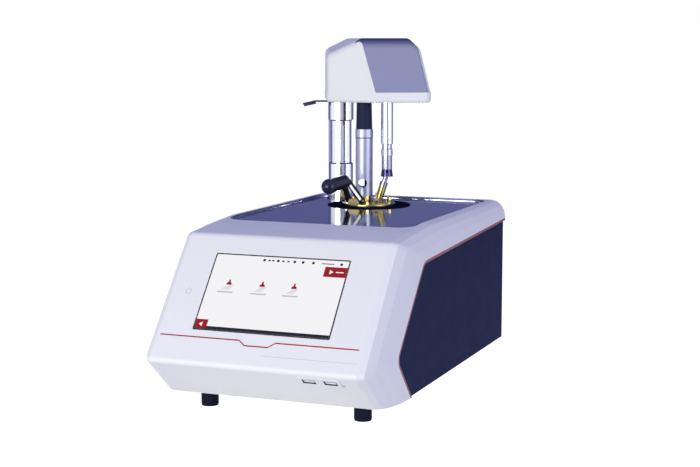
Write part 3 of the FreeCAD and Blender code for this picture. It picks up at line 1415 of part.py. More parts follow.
def shutter_rails():
    """Two rails with a lip over the shutter's edges."""
    left = WINDOW_U - SHUTTER_LENGTH / 2
    right = WINDOW_U + SHUTTER_LENGTH / 2 + SHUTTER_TRAVEL
    slide_high = shutter_low() + SHUTTER_THICKNESS + FIT_GAP
    rails = []
    for side in (-1, 1):
        wall = WINDOW_W + side * (SHUTTER_WIDTH / 2 + FIT_GAP + RAIL_WIDTH / 2)
        upright = block(left, right, wall - RAIL_WIDTH / 2, wall + RAIL_WIDTH / 2, lid_top, slide_high)
        edge = wall - side * RAIL_LIP / 2
        width = RAIL_WIDTH + RAIL_LIP
        lip = block(left, right, edge - width / 2, edge + width / 2, slide_high, slide_high + RAIL_LIP)
        rails.append(upright.fuse(lip).removeSplitter())
    return at(group(rails), swung_frame())


def lid_fittings():
    return group([shutter_rails(), igniter_bracket()])


def igniter():
    """Bent tube on a hub; it rests turned up from the window and dips into it."""
    reach = WINDOW_W - IGNITER_W
    arm = Part.makeCylinder(IGNITER_RADIUS, reach, vec(0, 0, 0), Y_AXIS)
    knee = Part.makeSphere(IGNITER_RADIUS, vec(0, reach, 0))
    tip = Part.makeCylinder(IGNITER_RADIUS, IGNITER_TIP, vec(0, reach, -IGNITER_TIP))
    half = IGNITER_HUB_WIDTH / 2
    hub = Part.makeCylinder(IGNITER_HUB_RADIUS, 2 * half, vec(-half, 0, 0), X_AXIS)
    shape = fused([arm, knee, tip, hub])
    hole = Part.makeCylinder(IGNITER_PIN_RADIUS + RUNNING_GAP, 4 * half, vec(-2 * half, 0, 0), X_AXIS)
    shape = shape.cut(hole)
    shape.rotate(vec(0, 0, 0), X_AXIS, IGNITER_LIFT)
    shape.translate(vec(WINDOW_U, IGNITER_W, IGNITER_HEIGHT))
    return at(shape, swung_frame())


def igniter_bracket():
    """Two ears and a pin on a small foot at the lid's edge."""
    half = IGNITER_HUB_WIDTH / 2 + SEAT_GAP
    top = IGNITER_HEIGHT + IGNITER_EAR_REACH
    low_w = IGNITER_W - IGNITER_EAR_REACH
    high_w = IGNITER_W + IGNITER_EAR_REACH
    width = half + IGNITER_EAR
    parts = [block(WINDOW_U - width, WINDOW_U + width, low_w, high_w, lid_top, lid_top + IGNITER_EAR)]
    for side in (-1, 1):
        middle = WINDOW_U + side * (half + IGNITER_EAR / 2)
        parts.append(block(middle - IGNITER_EAR / 2, middle + IGNITER_EAR / 2, low_w, high_w, lid_top, top))
    pin_half = width + HANDLE_PIN_PROUD
    parts.append(Part.makeCylinder(IGNITER_PIN_RADIUS, 2 * pin_half,
                                   vec(WINDOW_U - pin_half, IGNITER_W, IGNITER_HEIGHT), X_AXIS))
    return at(fused(parts), swung_frame())


# Fork handle: its own frame has X along the pivot and Y outwards
def handle_frame():
    turn = FreeCAD.Placement(vec(HANDLE_U, HANDLE_W, HANDLE_PIVOT), FreeCAD.Rotation(Z_AXIS, HANDLE_TURN))
    flip = FreeCAD.Placement(vec(0, 0, 0), FreeCAD.Rotation(Z_AXIS, 180))
    return swung_frame().multiply(turn).multiply(flip)


def handle_bracket():
    half = HANDLE_HALF_SPAN - HANDLE_BAR_CLEARANCE
    seat = lid_top - HANDLE_PIVOT
    bar = block(-half, half, -HANDLE_BAR_WIDTH / 2, HANDLE_BAR_WIDTH / 2, seat, HANDLE_PIN_RADIUS + FIT_GAP)
    length = HANDLE_HALF_SPAN + LEG_THICKNESS + HANDLE_PIN_PROUD
    pin = Part.makeCylinder(HANDLE_PIN_RADIUS, 2 * length, vec(-length, 0, 0), X_AXIS)
    return at(bar.fuse(pin).removeSplitter(), handle_frame())


def leg_section(x, reach, rise, lean):
    """Rectangle across a leg at a place along it."""
    half_width = LEG_WIDTH / 2
    half_thick = LEG_THICKNESS / 2
    across_y = math.cos(lean) * half_width
    across_z = math.sin(lean) * half_width
    corners = [
        vec(x - half_thick, reach - across_y, rise + across_z),
        vec(x + half_thick, reach - across_y, rise + across_z),
        vec(x + half_thick, reach + across_y, rise - across_z),
        vec(x - half_thick, reach + across_y, rise - across_z),
    ]
    return Part.makePolygon(corners + corners[:1])


def handle_fork():
    lean = math.atan2(ROOT_REACH, ROOT_RISE)
    parts = []
    for side in (-1, 1):
        foot_x = side * (HANDLE_HALF_SPAN + LEG_THICKNESS / 2)
        top_x = side * ROOT_HALF_SPAN
        sections = [leg_section(foot_x, 0, 0, lean), leg_section(top_x, ROOT_REACH, ROOT_RISE, lean)]
        parts.append(Part.makeLoft(sections, True, True))
        eye = Part.makeCylinder(LEG_EYE_RADIUS, LEG_THICKNESS, vec(foot_x - LEG_THICKNESS / 2, 0, 0), X_AXIS)
        parts.append(eye)
    half = ROOT_HALF_SPAN + LEG_THICKNESS / 2
    bridge = Part.makeCylinder(LEG_WIDTH / 2, 2 * half, vec(-half, ROOT_REACH, ROOT_RISE), X_AXIS)
    parts.append(bridge)
    fork = fused(parts)
    reach = HANDLE_HALF_SPAN + LEG_THICKNESS + OVERRUN
    hole = Part.makeCylinder(HANDLE_PIN_RADIUS + RUNNING_GAP, 2 * reach, vec(-reach, 0, 0), X_AXIS)
    return at(fork.cut(hole), handle_frame())


def handle_grip():
    """Round grip with a ball end, seated against the fork's bridge."""
    start = vec(0, ROOT_REACH, ROOT_RISE)
    end = vec(0, BALL_REACH, BALL_RISE)
    along = end.sub(start)
    length = along.Length
    axis = vec(0, along.y / length, along.z / length)
    grip = Part.makeCylinder(GRIP_RADIUS, length, start, axis)
    ball = Part.makeSphere(BALL_RADIUS, end)
    shape = grip.fuse(ball).removeSplitter()
    shape = at(shape, handle_frame())
    return shape.cut(handle_fork())


# Detector over the lid
def detector_tube():
    high = detector_top
    u = DETECTOR_U
    w = DETECTOR_W
    shape = rod(DETECTOR_RADIUS, DETECTOR_LOW, high, u, w)
    bore_radius = DETECTOR_RADIUS - DETECTOR_WALL
    shape = shape.cut(rod(bore_radius, DETECTOR_LOW + DETECTOR_FLOOR, high + OVERRUN, u, w))
    reach = 2 * DETECTOR_RADIUS
    start = vec(u + CROSS_BORE_SHIFT, w - reach, CROSS_BORE_HEIGHT)
    cross = Part.makeCylinder(CROSS_BORE, 2 * reach, start, Y_AXIS)
    hole = Part.makeCylinder(SIDE_HOLE, reach, vec(u - reach, w, SIDE_HOLE_HEIGHT), X_AXIS)
    probe = rod(PROBE_RADIUS, -OVERRUN, high, u + PROBE_U, w + PROBE_W)
    collar = rod(DETECTOR_COLLAR_RADIUS, high, high + DETECTOR_COLLAR, u, w)
    return at(shape.cut(cross).cut(hole).cut(probe).fuse(collar).removeSplitter(), swung_frame())


def detector_plug():
    low = detector_top + DETECTOR_COLLAR
    high = head_floor + PLUG_HEAD_REACH
    return at(cone(PLUG_LOW_RADIUS, PLUG_HIGH_RADIUS, low, high, DETECTOR_U, DETECTOR_W), swung_frame())


def temperature_probe():
    u = DETECTOR_U + PROBE_U
    w = DETECTOR_W + PROBE_W
    shape = rod(PROBE_RADIUS, PROBE_RADIUS - PROBE_DEPTH, PROBE_TOP, u, w)
    tip = Part.makeSphere(PROBE_RADIUS, vec(u, w, PROBE_RADIUS - PROBE_DEPTH))
    return at(shape.fuse(tip).removeSplitter(), swung_frame())


# Electronics on the base plate
def main_board():
    """Board with its chips, on four standoffs."""
    low = base_top + MAIN_BOARD_RISE
    board = centred(main_board_x, MAIN_BOARD_Y, MAIN_BOARD_WIDTH, MAIN_BOARD_DEPTH,
                    low, low + BOARD_THICKNESS)
    parts = [board]
    chip_low = low + BOARD_THICKNESS
    for x_share, y_share in ((-1, -1), (0, 0), (1, 1), (1, -1)):
        x = main_board_x + x_share * (MAIN_BOARD_WIDTH / 4)
        y = MAIN_BOARD_Y + y_share * (MAIN_BOARD_DEPTH / 4)
        parts.append(centred(x, y, CHIP_SIZE, CHIP_SIZE, chip_low, chip_low + CHIP_HEIGHT))
    half_x = MAIN_BOARD_WIDTH / 2 - BOARD_EDGE
    half_y = MAIN_BOARD_DEPTH / 2 - BOARD_EDGE
    posts = [rod(STANDOFF_RADIUS, base_top, low, main_board_x + x, MAIN_BOARD_Y + y)
             for x in (-half_x, half_x) for y in (-half_y, half_y)]
    return group([fused(parts)] + posts)


def power_supply():
    low = base_top
    high = base_top + SUPPLY_HEIGHT
    case = centred(supply_x, SUPPLY_Y, SUPPLY_WIDTH, SUPPLY_DEPTH, low, high)
    hollow = centred(supply_x, SUPPLY_Y, SUPPLY_WIDTH - 2 * SUPPLY_SHEET, SUPPLY_DEPTH + OVERRUN,
                     low + SUPPLY_SHEET, high - SUPPLY_SHEET)
    core = centred(supply_x, SUPPLY_Y, SUPPLY_WIDTH - 2 * BOARD_EDGE, SUPPLY_DEPTH - 2 * BOARD_EDGE,
                   low + SUPPLY_SHEET, high - 2 * BOARD_EDGE)
    return case.cut(hollow).fuse(core).removeSplitter()


# Power inlet and rocker switch on the rear panel
def inlet_height():
    return base_top + INLET_RISE


def panel_outer():
    return back_y - REAR_INSET


def inlet_block(width, height, y_low, y_high):
    z = inlet_height()
    return block(inlet_x - width / 2, inlet_x + width / 2, y_low, y_high, z - height / 2, z + height / 2)


def inlet_body(gap):
    outer = panel_outer()
    return inlet_block(INLET_WIDTH + 2 * gap, INLET_HEIGHT + 2 * gap, outer - INLET_DEPTH, outer)


def power_inlet():
    """Inlet shell with a flange, and its three flat pins."""
    outer = panel_outer()
    body = inlet_body(0)
    flange = inlet_block(INLET_WIDTH + 2 * INLET_FLANGE, INLET_HEIGHT + 2 * INLET_FLANGE,
                         outer, outer + INLET_FLANGE_THICKNESS)
    hollow = inlet_block(INLET_WIDTH - 2 * INLET_WALL, INLET_HEIGHT - 2 * INLET_WALL,
                         outer - INLET_DEPTH + INLET_FLOOR, outer + OVERRUN)
    shell = body.fuse(flange).cut(hollow).removeSplitter()
    floor = panel_outer() - INLET_DEPTH + INLET_FLOOR
    z = inlet_height() + PIN_RISE
    pins = []
    for x, lift in ((-PIN_PITCH, 0), (0, EARTH_RISE), (PIN_PITCH, 0)):
        pins.append(block(inlet_x + x - PIN_WIDTH / 2, inlet_x + x + PIN_WIDTH / 2,
                          floor, floor + PIN_LENGTH,
                          z + lift - PIN_HEIGHT / 2, z + lift + PIN_HEIGHT / 2))
    return group([shell] + pins)


def switch_block(width, height, y_low, y_high):
    z = inlet_height()
    return block(switch_x - width / 2, switch_x + width / 2, y_low, y_high, z - height / 2, z + height / 2)


def rocker_hollow_height():
    return ROCKER_HEIGHT + 2 * (ROCKER_CLEARANCE + FIT_GAP)


def switch_body(gap):
    outer = panel_outer()
    width = ROCKER_WIDTH + 2 * (SEAT_GAP + SWITCH_WALL + gap)
    height = rocker_hollow_height() + 2 * (SWITCH_WALL + gap)
    return switch_block(width, height, outer - ROCKER_PIVOT_INSET - SWITCH_DEPTH, outer)


def switch_pivot():
    return vec(switch_x, back_y - ROCKER_PIVOT_INSET, inlet_height())


def switch_frame():
    outer = panel_outer()
    body = switch_body(0)
    flange = switch_block(SWITCH_FRAME_WIDTH + SWITCH_WALL, SWITCH_FRAME_HEIGHT + 2 * SWITCH_WALL,
                          outer, outer + SWITCH_WALL)
    hollow = switch_block(ROCKER_WIDTH + 2 * SEAT_GAP, rocker_hollow_height(),
                          outer - ROCKER_PIVOT_INSET - SWITCH_DEPTH + SWITCH_WALL, outer + OVERRUN)
    half = ROCKER_WIDTH / 2 + SEAT_GAP + SWITCH_WALL
    hole = Part.makeCylinder(ROCKER_PIN_RADIUS + RUNNING_GAP, 2 * half,
                             switch_pivot().add(vec(-half, 0, 0)), X_AXIS)
    return body.fuse(flange).cut(hollow).cut(hole).removeSplitter()


def power_rocker():
    """Rocker with trunnions, resting in its off position."""
    pivot = switch_pivot()
    half_height = ROCKER_HEIGHT / 2
    profile = [(-ROCKER_IN, -half_height), (ROCKER_OUT, -half_height), (ROCKER_OUT - ROCKER_CLEARANCE, 0),
               (ROCKER_OUT, half_height), (-ROCKER_IN, half_height)]
    points = [vec(-ROCKER_WIDTH / 2, y, z) for y, z in profile]
    body = Part.Face(Part.makePolygon(points + points[:1])).extrude(vec(ROCKER_WIDTH, 0, 0))
    half = ROCKER_WIDTH / 2 + SWITCH_WALL
    pin = Part.makeCylinder(ROCKER_PIN_RADIUS, 2 * half, vec(-half, 0, 0), X_AXIS)
    rocker = body.fuse(pin).removeSplitter()
    rocker.rotate(vec(0, 0, 0), X_AXIS, -ROCKER_TILT)
    rocker.translate(pivot)
    return rocker


def each_foot(make):
    return group([make(x, y) for x, y in foot_places()])


PARTS = {
    "housing_shell": housing_shell,
    "side_panel_right": side_panel,
    "side_panel_left": lambda: mirrored(side_panel()),
    "side_trims": side_trims,
    "base_plate": base_plate,
    "rear_panel": rear_panel,
    "feet": lambda: each_foot(foot),
    "foot_screws": lambda: each_foot(foot_screw),
    "display_glass": display_glass,
    "display_panel": display_panel,
    "display_board": display_board,
    "front_stripe": front_stripe,
    "usb_sockets": usb_sockets,
    "socket_surround": socket_surround,
    "deck_plate": deck_plate,
    "well_ring": well_ring,
    "test_cup": test_cup,
    "cooling_block": cooling_block,
    "insulation": insulation,
    "peltier_element": peltier_element,
    "heat_sink": heat_sink,
    "fan_frame": fan_frame,
    "fan_rotor": fan_rotor,
    "lift_column": column,
    "column_sleeve": column_sleeve,
    "upper_collar": upper_collar,
    "guide_rod": guide_rod,
    "guide_bush": guide_bush,
    "lift_frame": lift_frame,
    "lift_carriage": lift_carriage,
    "lift_screw": lift_screw,
    "lift_motor": lift_motor,
    "clamp_lever": clamp_lever,
    "head_shell": head_shell,
    "head_front_panel": head_front_panel,
    "head_base": head_base,
    "head_screws": head_screws,
    "column_clamp": column_clamp,
    "head_board": head_board,
    "drive_bearing": drive_bearing,
    "motor_mount": motor_mount,
    "stirrer_motor": stirrer_motor,
    "stirrer_drive": stirrer_drive,
    "stirrer": stirrer,
    "stirrer_bush": stirrer_bush,
    "cup_lid": cup_lid,
    "lid_shutter": lid_shutter,
    "lid_fittings": lid_fittings,
    "igniter": igniter,
    "handle_bracket": handle_bracket,
    "handle_fork": handle_fork,
    "handle_grip": handle_grip,
    "detector_tube": detector_tube,
    "detector_plug": detector_plug,
    "temperature_probe": temperature_probe,
    "main_board": main_board,
    "power_supply": power_supply,
    "power_inlet": power_inlet,
    "switch_frame": switch_frame,
    "power_rocker": power_rocker,
}


def main():
    os.makedirs("parts", exist_ok=True)
    for name, make in PARTS.items():
        shape = make()
        solids = shape.Solids
        if not solids or not shape.isValid():
            raise ValueError(name + " is not a valid solid")
        shape.exportStep("parts/" + name + ".step")
        print(name, len(solids), round(sum(solid.Volume for solid in solids)))


main()
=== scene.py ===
"""Dressed view of a closed-cup bench tester.

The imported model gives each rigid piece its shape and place.  This script gives
every piece a procedural finish, adds the small pieces that only the eye needs,
and sets up the camera, the lamps and the floor.  Lengths are metres in the
model's own frame: +Z up, -Y towards the user.
"""
import logging
import math
from dataclasses import dataclass
from enum import Enum
from typing import Mapping, Optional, Sequence, Union

import bpy
import numpy as np
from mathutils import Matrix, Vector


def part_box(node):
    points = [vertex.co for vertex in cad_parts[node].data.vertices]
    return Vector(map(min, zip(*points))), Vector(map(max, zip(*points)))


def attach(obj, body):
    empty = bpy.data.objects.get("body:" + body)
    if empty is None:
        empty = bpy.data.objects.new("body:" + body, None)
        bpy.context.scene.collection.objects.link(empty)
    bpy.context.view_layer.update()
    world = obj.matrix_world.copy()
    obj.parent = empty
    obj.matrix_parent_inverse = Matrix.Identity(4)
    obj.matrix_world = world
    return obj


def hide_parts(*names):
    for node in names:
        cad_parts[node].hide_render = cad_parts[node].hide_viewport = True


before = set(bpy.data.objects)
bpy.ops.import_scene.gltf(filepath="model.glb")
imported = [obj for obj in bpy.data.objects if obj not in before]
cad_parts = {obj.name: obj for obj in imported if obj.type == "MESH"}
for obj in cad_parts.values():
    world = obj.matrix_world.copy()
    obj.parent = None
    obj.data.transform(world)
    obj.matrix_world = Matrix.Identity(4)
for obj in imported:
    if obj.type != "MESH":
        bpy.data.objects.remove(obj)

log = logging.getLogger("tester_scene")

MM = 0.001
Point = tuple[float, float, float]
Colour = Point
Sizes = tuple[float, ...]
Number = Union[float, "Signal"]
Outline = Sequence[tuple[float, float]]


def lengths(*values: float) -> Sizes:
    """Metres from millimetres."""
    return tuple(value * MM for value in values)


def pairs(*points: Sequence[float]) -> tuple[Sizes, ...]:
    """Metres from millimetres, point by point."""
    return tuple(lengths(*point) for point in points)


# Outline of the housing's middle in Y and Z, from the bench up to the crease
CHAMFER_FOOT = lengths(-180.7, 21.1)
NOSE = lengths(-233.95, 64.4)
CREASE = lengths(-134.3, 186.1)

# Cup well, and how far the head and the lid are turned about it
WELL = lengths(-17.2, 146.3, 191.8)
HEAD_SWING = math.radians(21.8)

# Turns past which an edge stays sharp, in degrees
ROUNDED = 35.0
FLAT = 20.0

# How much weaker each finer layer of noise is
NOISE_GAIN = 0.55

# How many grains wide the patches of colour and of gloss are, and how much the gloss varies
TINT_PATCH = 40
GLOSS_PATCH = 25
GLOSS_SPREAD = 0.25
GLOSS_FLOOR = 0.88

# How much longer than wide a lathe's ring and a brush's streak are
RING_RUN = 40
STREAK_RUN = 60


# Frames and meshes
@dataclass(frozen=True)
class Place:
    """A frame: its origin and its three unit axes, one to a row."""

    origin: np.ndarray
    axes: np.ndarray

    def put(self, points: np.ndarray) -> np.ndarray:
        """Points moved to the model's frame: origin + x * X + y * Y + z * Z."""
        return self.origin + np.asarray(points, float) @ self.axes

    def inside(self, origin: Sequence[float], axes: np.ndarray) -> "Place":
        """Frame whose origin and axes are given in this frame's own coordinates."""
        return Place(self.put(np.asarray(origin, float)), np.asarray(axes, float) @ self.axes)

    def at(self, *origin: float) -> "Place":
        """Frame moved to a point of its own, not turned."""
        return self.inside(origin, np.eye(3))


def face_place(low: Sequence[float], high: Sequence[float], origin: Sequence[float]) -> Place:
    """Frame on a flat of the housing: X right, Y up the flat, Z out of it.

    Args:
        low: A point lower on the flat, in Y and Z.
        high: A point higher on it.
        origin: Where the frame's origin lies, in Y and Z.
    Returns:
        The frame.
    """
    along = np.array([0.0, high[0] - low[0], high[1] - low[1]])
    along /= np.linalg.norm(along)
    across = np.array([1.0, 0.0, 0.0])
    return Place(np.array([0.0, *origin]), np.array([across, along, np.cross(across, along)]))


def turned_place(angle: float) -> Place:
    """Frame at the well's centre on the deck's top, turned about Z by an angle in radians."""
    cos, sin = math.cos(angle), math.sin(angle)
    return Place(np.array(WELL), np.array([[cos, sin, 0.0], [-sin, cos, 0.0], [0.0, 0.0, 1.0]]))


SLOPE = face_place(NOSE, CREASE, CREASE)
CHAMFER = face_place(CHAMFER_FOOT, NOSE, NOSE)
SWUNG = turned_place(HEAD_SWING)
ACROSS = Place(np.zeros(3), np.roll(np.eye(3), 1, axis=1))


def piece(name: str, points: np.ndarray, faces: Sequence[Sequence[int]], sharp: float) -> bpy.types.Object:
    """Object with its place in its mesh, smooth but for edges over an angle.

    Args:
        name: The piece's name.
        points: Vertices, one to a row.
        faces: Vertex numbers of each face, turning outwards.
        sharp: Edges that turn by more than this many degrees stay sharp.
    Returns:
        The new object, linked to the scene.
    """
    mesh = bpy.data.meshes.new(name)
    mesh.from_pydata(np.asarray(points, float).tolist(), [], faces)
    mesh.polygons.foreach_set("use_smooth", np.ones(len(mesh.polygons), bool))
    mesh.set_sharp_from_angle(angle=math.radians(sharp))
    mesh.validate()
    mesh.update()
    thing = bpy.data.objects.new(name, mesh)
    bpy.context.scene.collection.objects.link(thing)
    return thing


def grid_faces(rows: int, columns: int, first: int = 0) -> list[list[int]]:
    """Quads of a grid that closes on itself along its columns.

    Args:
        rows: Points along the open way.
        columns: Points round the closed way.
        first: Number of the grid's first vertex.
    Returns:
        The quads.
    """
    row, column = np.meshgrid(np.arange(rows - 1), np.arange(columns), indexing="ij")
    after = (column + 1) % columns
    quads = np.stack([row * columns + column, row * columns + after,
                      (row + 1) * columns + after, (row + 1) * columns + column], axis=-1)
    return (quads.reshape(-1, 4) + first).tolist()


def skin_piece(name: str, grids: Sequence[np.ndarray], sharp: float = ROUNDED) -> bpy.types.Object:
    """Closed skins of rings, each end shut by a flat face.

    Args:
        name: The piece's name.
        grids: Points of each skin as rings, points round, 3; seen along the rings they turn anticlockwise.
        sharp: Angle in degrees past which an edge stays sharp.
    Returns:
        One object that holds them all.
    """
    faces, first = [], 0
    for grid in grids:
        rings, columns, _ = grid.shape
        last = first + (rings - 1) * columns
        faces += grid_faces(rings, columns, first)
        faces.append(list(range(first + columns - 1, first - 1, -1)))
        faces.append(list(range(last, last + columns)))
        first = last + columns
    return piece(name, np.concatenate([grid.reshape(-1, 3) for grid in grids]), faces, sharp)


def lathe_grid(profile: np.ndarray, place: Place, columns: int = 64) -> np.ndarray:
    """Rings of a turned form: (r cos a, r sin a, z) for each profile point and angle.

    Args:
        profile: Radius and height of each ring, from the bottom up.
        place: Frame whose Z is the axis.
        columns: Points round each ring.
    Returns:
        Points as rings, points round, 3.
    """
    angle = np.linspace(0.0, 2 * math.pi, columns, endpoint=False)
    radius, height = profile[:, :1], profile[:, 1:]
    grid = np.stack([radius * np.cos(angle), radius * np.sin(angle),
                     height * np.ones_like(angle)], axis=-1)
    return place.put(grid)


def rounded_line(points: Outline, radii: Sequence[float], steps: int = 5) -> np.ndarray:
    """Open line whose corners are rounded by quadratic curves.

    Each corner P with neighbours A and B becomes the curve
    (1-t)^2 S + 2 t (1-t) P + t^2 E, where S and E lie the corner's radius
    along the runs to A and B.

    Args:
        points: The line's corners.
        radii: How far each curve starts from its corner; the ends stay.
        steps: Points on each curve.
    Returns:
        Points of the rounded line.
    """
    corners = np.asarray(points, float)
    out = [corners[:1]]
    share = np.linspace(0.0, 1.0, steps)[:, None]
    for before, corner, after, radius in zip(corners, corners[1:], corners[2:], radii[1:]):
        back, on = before - corner, after - corner
        start = corner + back / np.linalg.norm(back) * min(radius, np.linalg.norm(back) / 2)
        end = corner + on / np.linalg.norm(on) * min(radius, np.linalg.norm(on) / 2)
        out.append((1 - share) ** 2 * start + 2 * share * (1 - share) * corner + share ** 2 * end)
    out.append(corners[-1:])
    return np.concatenate(out)


def filleted_line(points: Outline, radii: Sequence[float], steps: int = 9) -> np.ndarray:
    """Open line whose corners are rounded by tangent arcs.

    At a corner P with unit ways u and v to its neighbours and half angle h
    between them, the arc's centre is P + (u + v) / |u + v| * r / sin h, and
    each point of it is the centre plus r times a unit vector between the two
    radii to the tangent points.

    Args:
        points: The line's corners.
        radii: Radius at each corner; the ends' aren't used.
        steps: Points on each arc.
    Returns:
        Points of the line.
    """
    corners = np.asarray(points, float)
    out = [corners[:1]]
    share = np.linspace(0.0, 1.0, steps)[:, None]
    for before, corner, after, radius in zip(corners, corners[1:], corners[2:], radii[1:]):
        back, on = before - corner, after - corner
        back, on = back / np.linalg.norm(back), on / np.linalg.norm(on)
        half = math.acos(float(back @ on)) / 2
        middle = (back + on) / np.linalg.norm(back + on)
        centre = corner + middle * radius / math.sin(half)
        first = corner + back * radius / math.tan(half) - centre
        last = corner + on * radius / math.tan(half) - centre
        spread = math.pi - 2 * half
        spokes = (np.sin((1 - share) * spread) * first + np.sin(share * spread) * last) / math.sin(spread)
        out.append(centre + spokes)
    out.append(corners[-1:])
    return np.concatenate(out)


def prism_piece(name: str, outlines: Sequence[Outline], place: Place, low: float,
                high: float) -> bpy.types.Object:
    """Thin closed prisms, one for each outline: the outline at two heights.

    Args:
        name: The piece's name.
        outlines: Anticlockwise outlines in the frame's X and Y.
        place: The frame they lie in.
        low: Height of their under side.
        high: Height of their top.
    Returns:
        One object that holds them all.
    """
    grids = [place.put(np.stack([np.column_stack([outline, np.full(len(outline), height)])
                                 for height in (low, high)])) for outline in outlines]
    return skin_piece(name, grids, FLAT)


def turned_group(name: str, outline: Outline, places: Sequence[Place],
                 columns: int = 32) -> bpy.types.Object:
    """The same turned form at several places, each end shut by a flat face.

    Args:
        name: The piece's name.
        outline: Radius and height along the form's skin, from its foot to its head.
        places: Frames whose Z is each form's axis.
        columns: Points round each ring.
    Returns:
        One object that holds them all.
    """
    return skin_piece(name, [lathe_grid(np.asarray(outline, float), place, columns) for place in places])


def ring_piece(name: str, radii: Sequence[float], heights: Sequence[float], place: Place, bevel: float,
               columns: int = 96) -> bpy.types.Object:
    """Flat ring with small chamfers: a closed section carried once round its axis.

    Args:
        name: The piece's name.
        radii: Inner and outer radius.
        heights: Heights of its under side and its top.
        place: Frame whose Z is the axis.
        bevel: Width of the chamfers.
        columns: Points round.
    Returns:
        The new object.
    """
    (inner, outer), (low, high) = radii, heights
    section = np.array([(inner, low), (outer - bevel, low), (outer, low + bevel), (outer, high - bevel),
                        (outer - bevel, high), (inner + bevel, high), (inner, high - bevel)])
    rows = len(section)
    grid = lathe_grid(np.concatenate([section, section[:1]]), place, columns)
    faces = np.asarray(grid_faces(rows + 1, columns)) % (rows * columns)
    return piece(name, grid[:rows].reshape(-1, 3), faces.tolist(), FLAT)


def screw_head(radius: float, height: float, socket: float, floor: float = 0.40, brow: float = 0.45,
               lip: float = 0.08) -> np.ndarray:
    """Skin of a pan head with a round recess: up its side, over a rounded brow and into the recess.

    Args:
        radius: Radius of the head.
        height: Height of the head.
        socket: Radius of the recess.
        floor: Height of the recess's floor, as a share of the head's.
        brow: Rounding of the brow, as such a share.
        lip: Rounding of the recess's lip, as such a share.
    Returns:
        Radius and height of each ring.
    """
    profile = [(radius, 0.0), (radius, height), (socket, height), (socket, floor * height)]
    return rounded_line(profile, [0.0, brow * height, lip * height, 0.0])


def disc_outline(x: float, y: float, radius: float, count: int = 24) -> Outline:
    """Anticlockwise ring of points: (x + r cos a, y + r sin a)."""
    angle = np.linspace(0.0, 2 * math.pi, count, endpoint=False)
    return np.column_stack([x + radius * np.cos(angle), y + radius * np.sin(angle)])


def box_outline(x_low: float, x_high: float, y_low: float, y_high: float) -> Outline:
    """Anticlockwise rectangle."""
    return [(x_low, y_low), (x_high, y_low), (x_high, y_high), (x_low, y_high)]


def arc_band(centre: Sequence[float], radius: float, width: float, start: float, end: float,
             count: int = 24) -> Outline:
    """Part of a ring, as one outline: out along the outer arc and back along the inner one.

    Args:
        centre: The ring's centre.
        radius: Radius at the middle of the band.
        width: Width of the band.
        start: First angle in degrees.
        end: Last angle in degrees, more than the first.
        count: Points on each arc.
    Returns:
        The outline, anticlockwise.
    """
    angle = np.radians(np.linspace(start, end, count))
    ring = np.column_stack([np.cos(angle), np.sin(angle)])
    outer = ring * (radius + width / 2)
    inner = ring[::-1] * (radius - width / 2)
    return np.concatenate([outer, inner]) + np.array(centre)


# Shader arithmetic
class Signal:
    """Output of a shader node; arithmetic on it adds Math nodes."""

    def __init__(self, graph: "Graph", socket: bpy.types.NodeSocket) -> None:
        """Wrap a socket of a graph."""
        self.graph = graph
        self.socket = socket

    def _math(self, operation: str, first: Number, second: Number) -> "Signal":
        """Math node of two numbers or signals."""
        return self.graph.add("ShaderNodeMath", {"operation": operation}, {0: first, 1: second})

    def __add__(self, other: Number) -> "Signal":
        """Sum."""
        return self._math("ADD", self, other)

    def __sub__(self, other: Number) -> "Signal":
        """Difference."""
        return self._math("SUBTRACT", self, other)

    def __rsub__(self, other: Number) -> "Signal":
        """Difference from a number."""
        return self._math("SUBTRACT", other, self)

    def __mul__(self, other: Number) -> "Signal":
        """Product."""
        return self._math("MULTIPLY", self, other)

    def above(self, edge: float) -> "Signal":
        """1 where the signal is over an edge."""
        return self._math("GREATER_THAN", self, edge)

    def at_least(self, other: Number) -> "Signal":
        """The larger of the two."""
        return self._math("MAXIMUM", self, other)

    def bearing(self, other: Number) -> "Signal":
        """Angle of a flat vector with this as its second part and the other as its first."""
        return self._math("ARCTAN2", self, other)

    __radd__ = __add__
    __rmul__ = __mul__


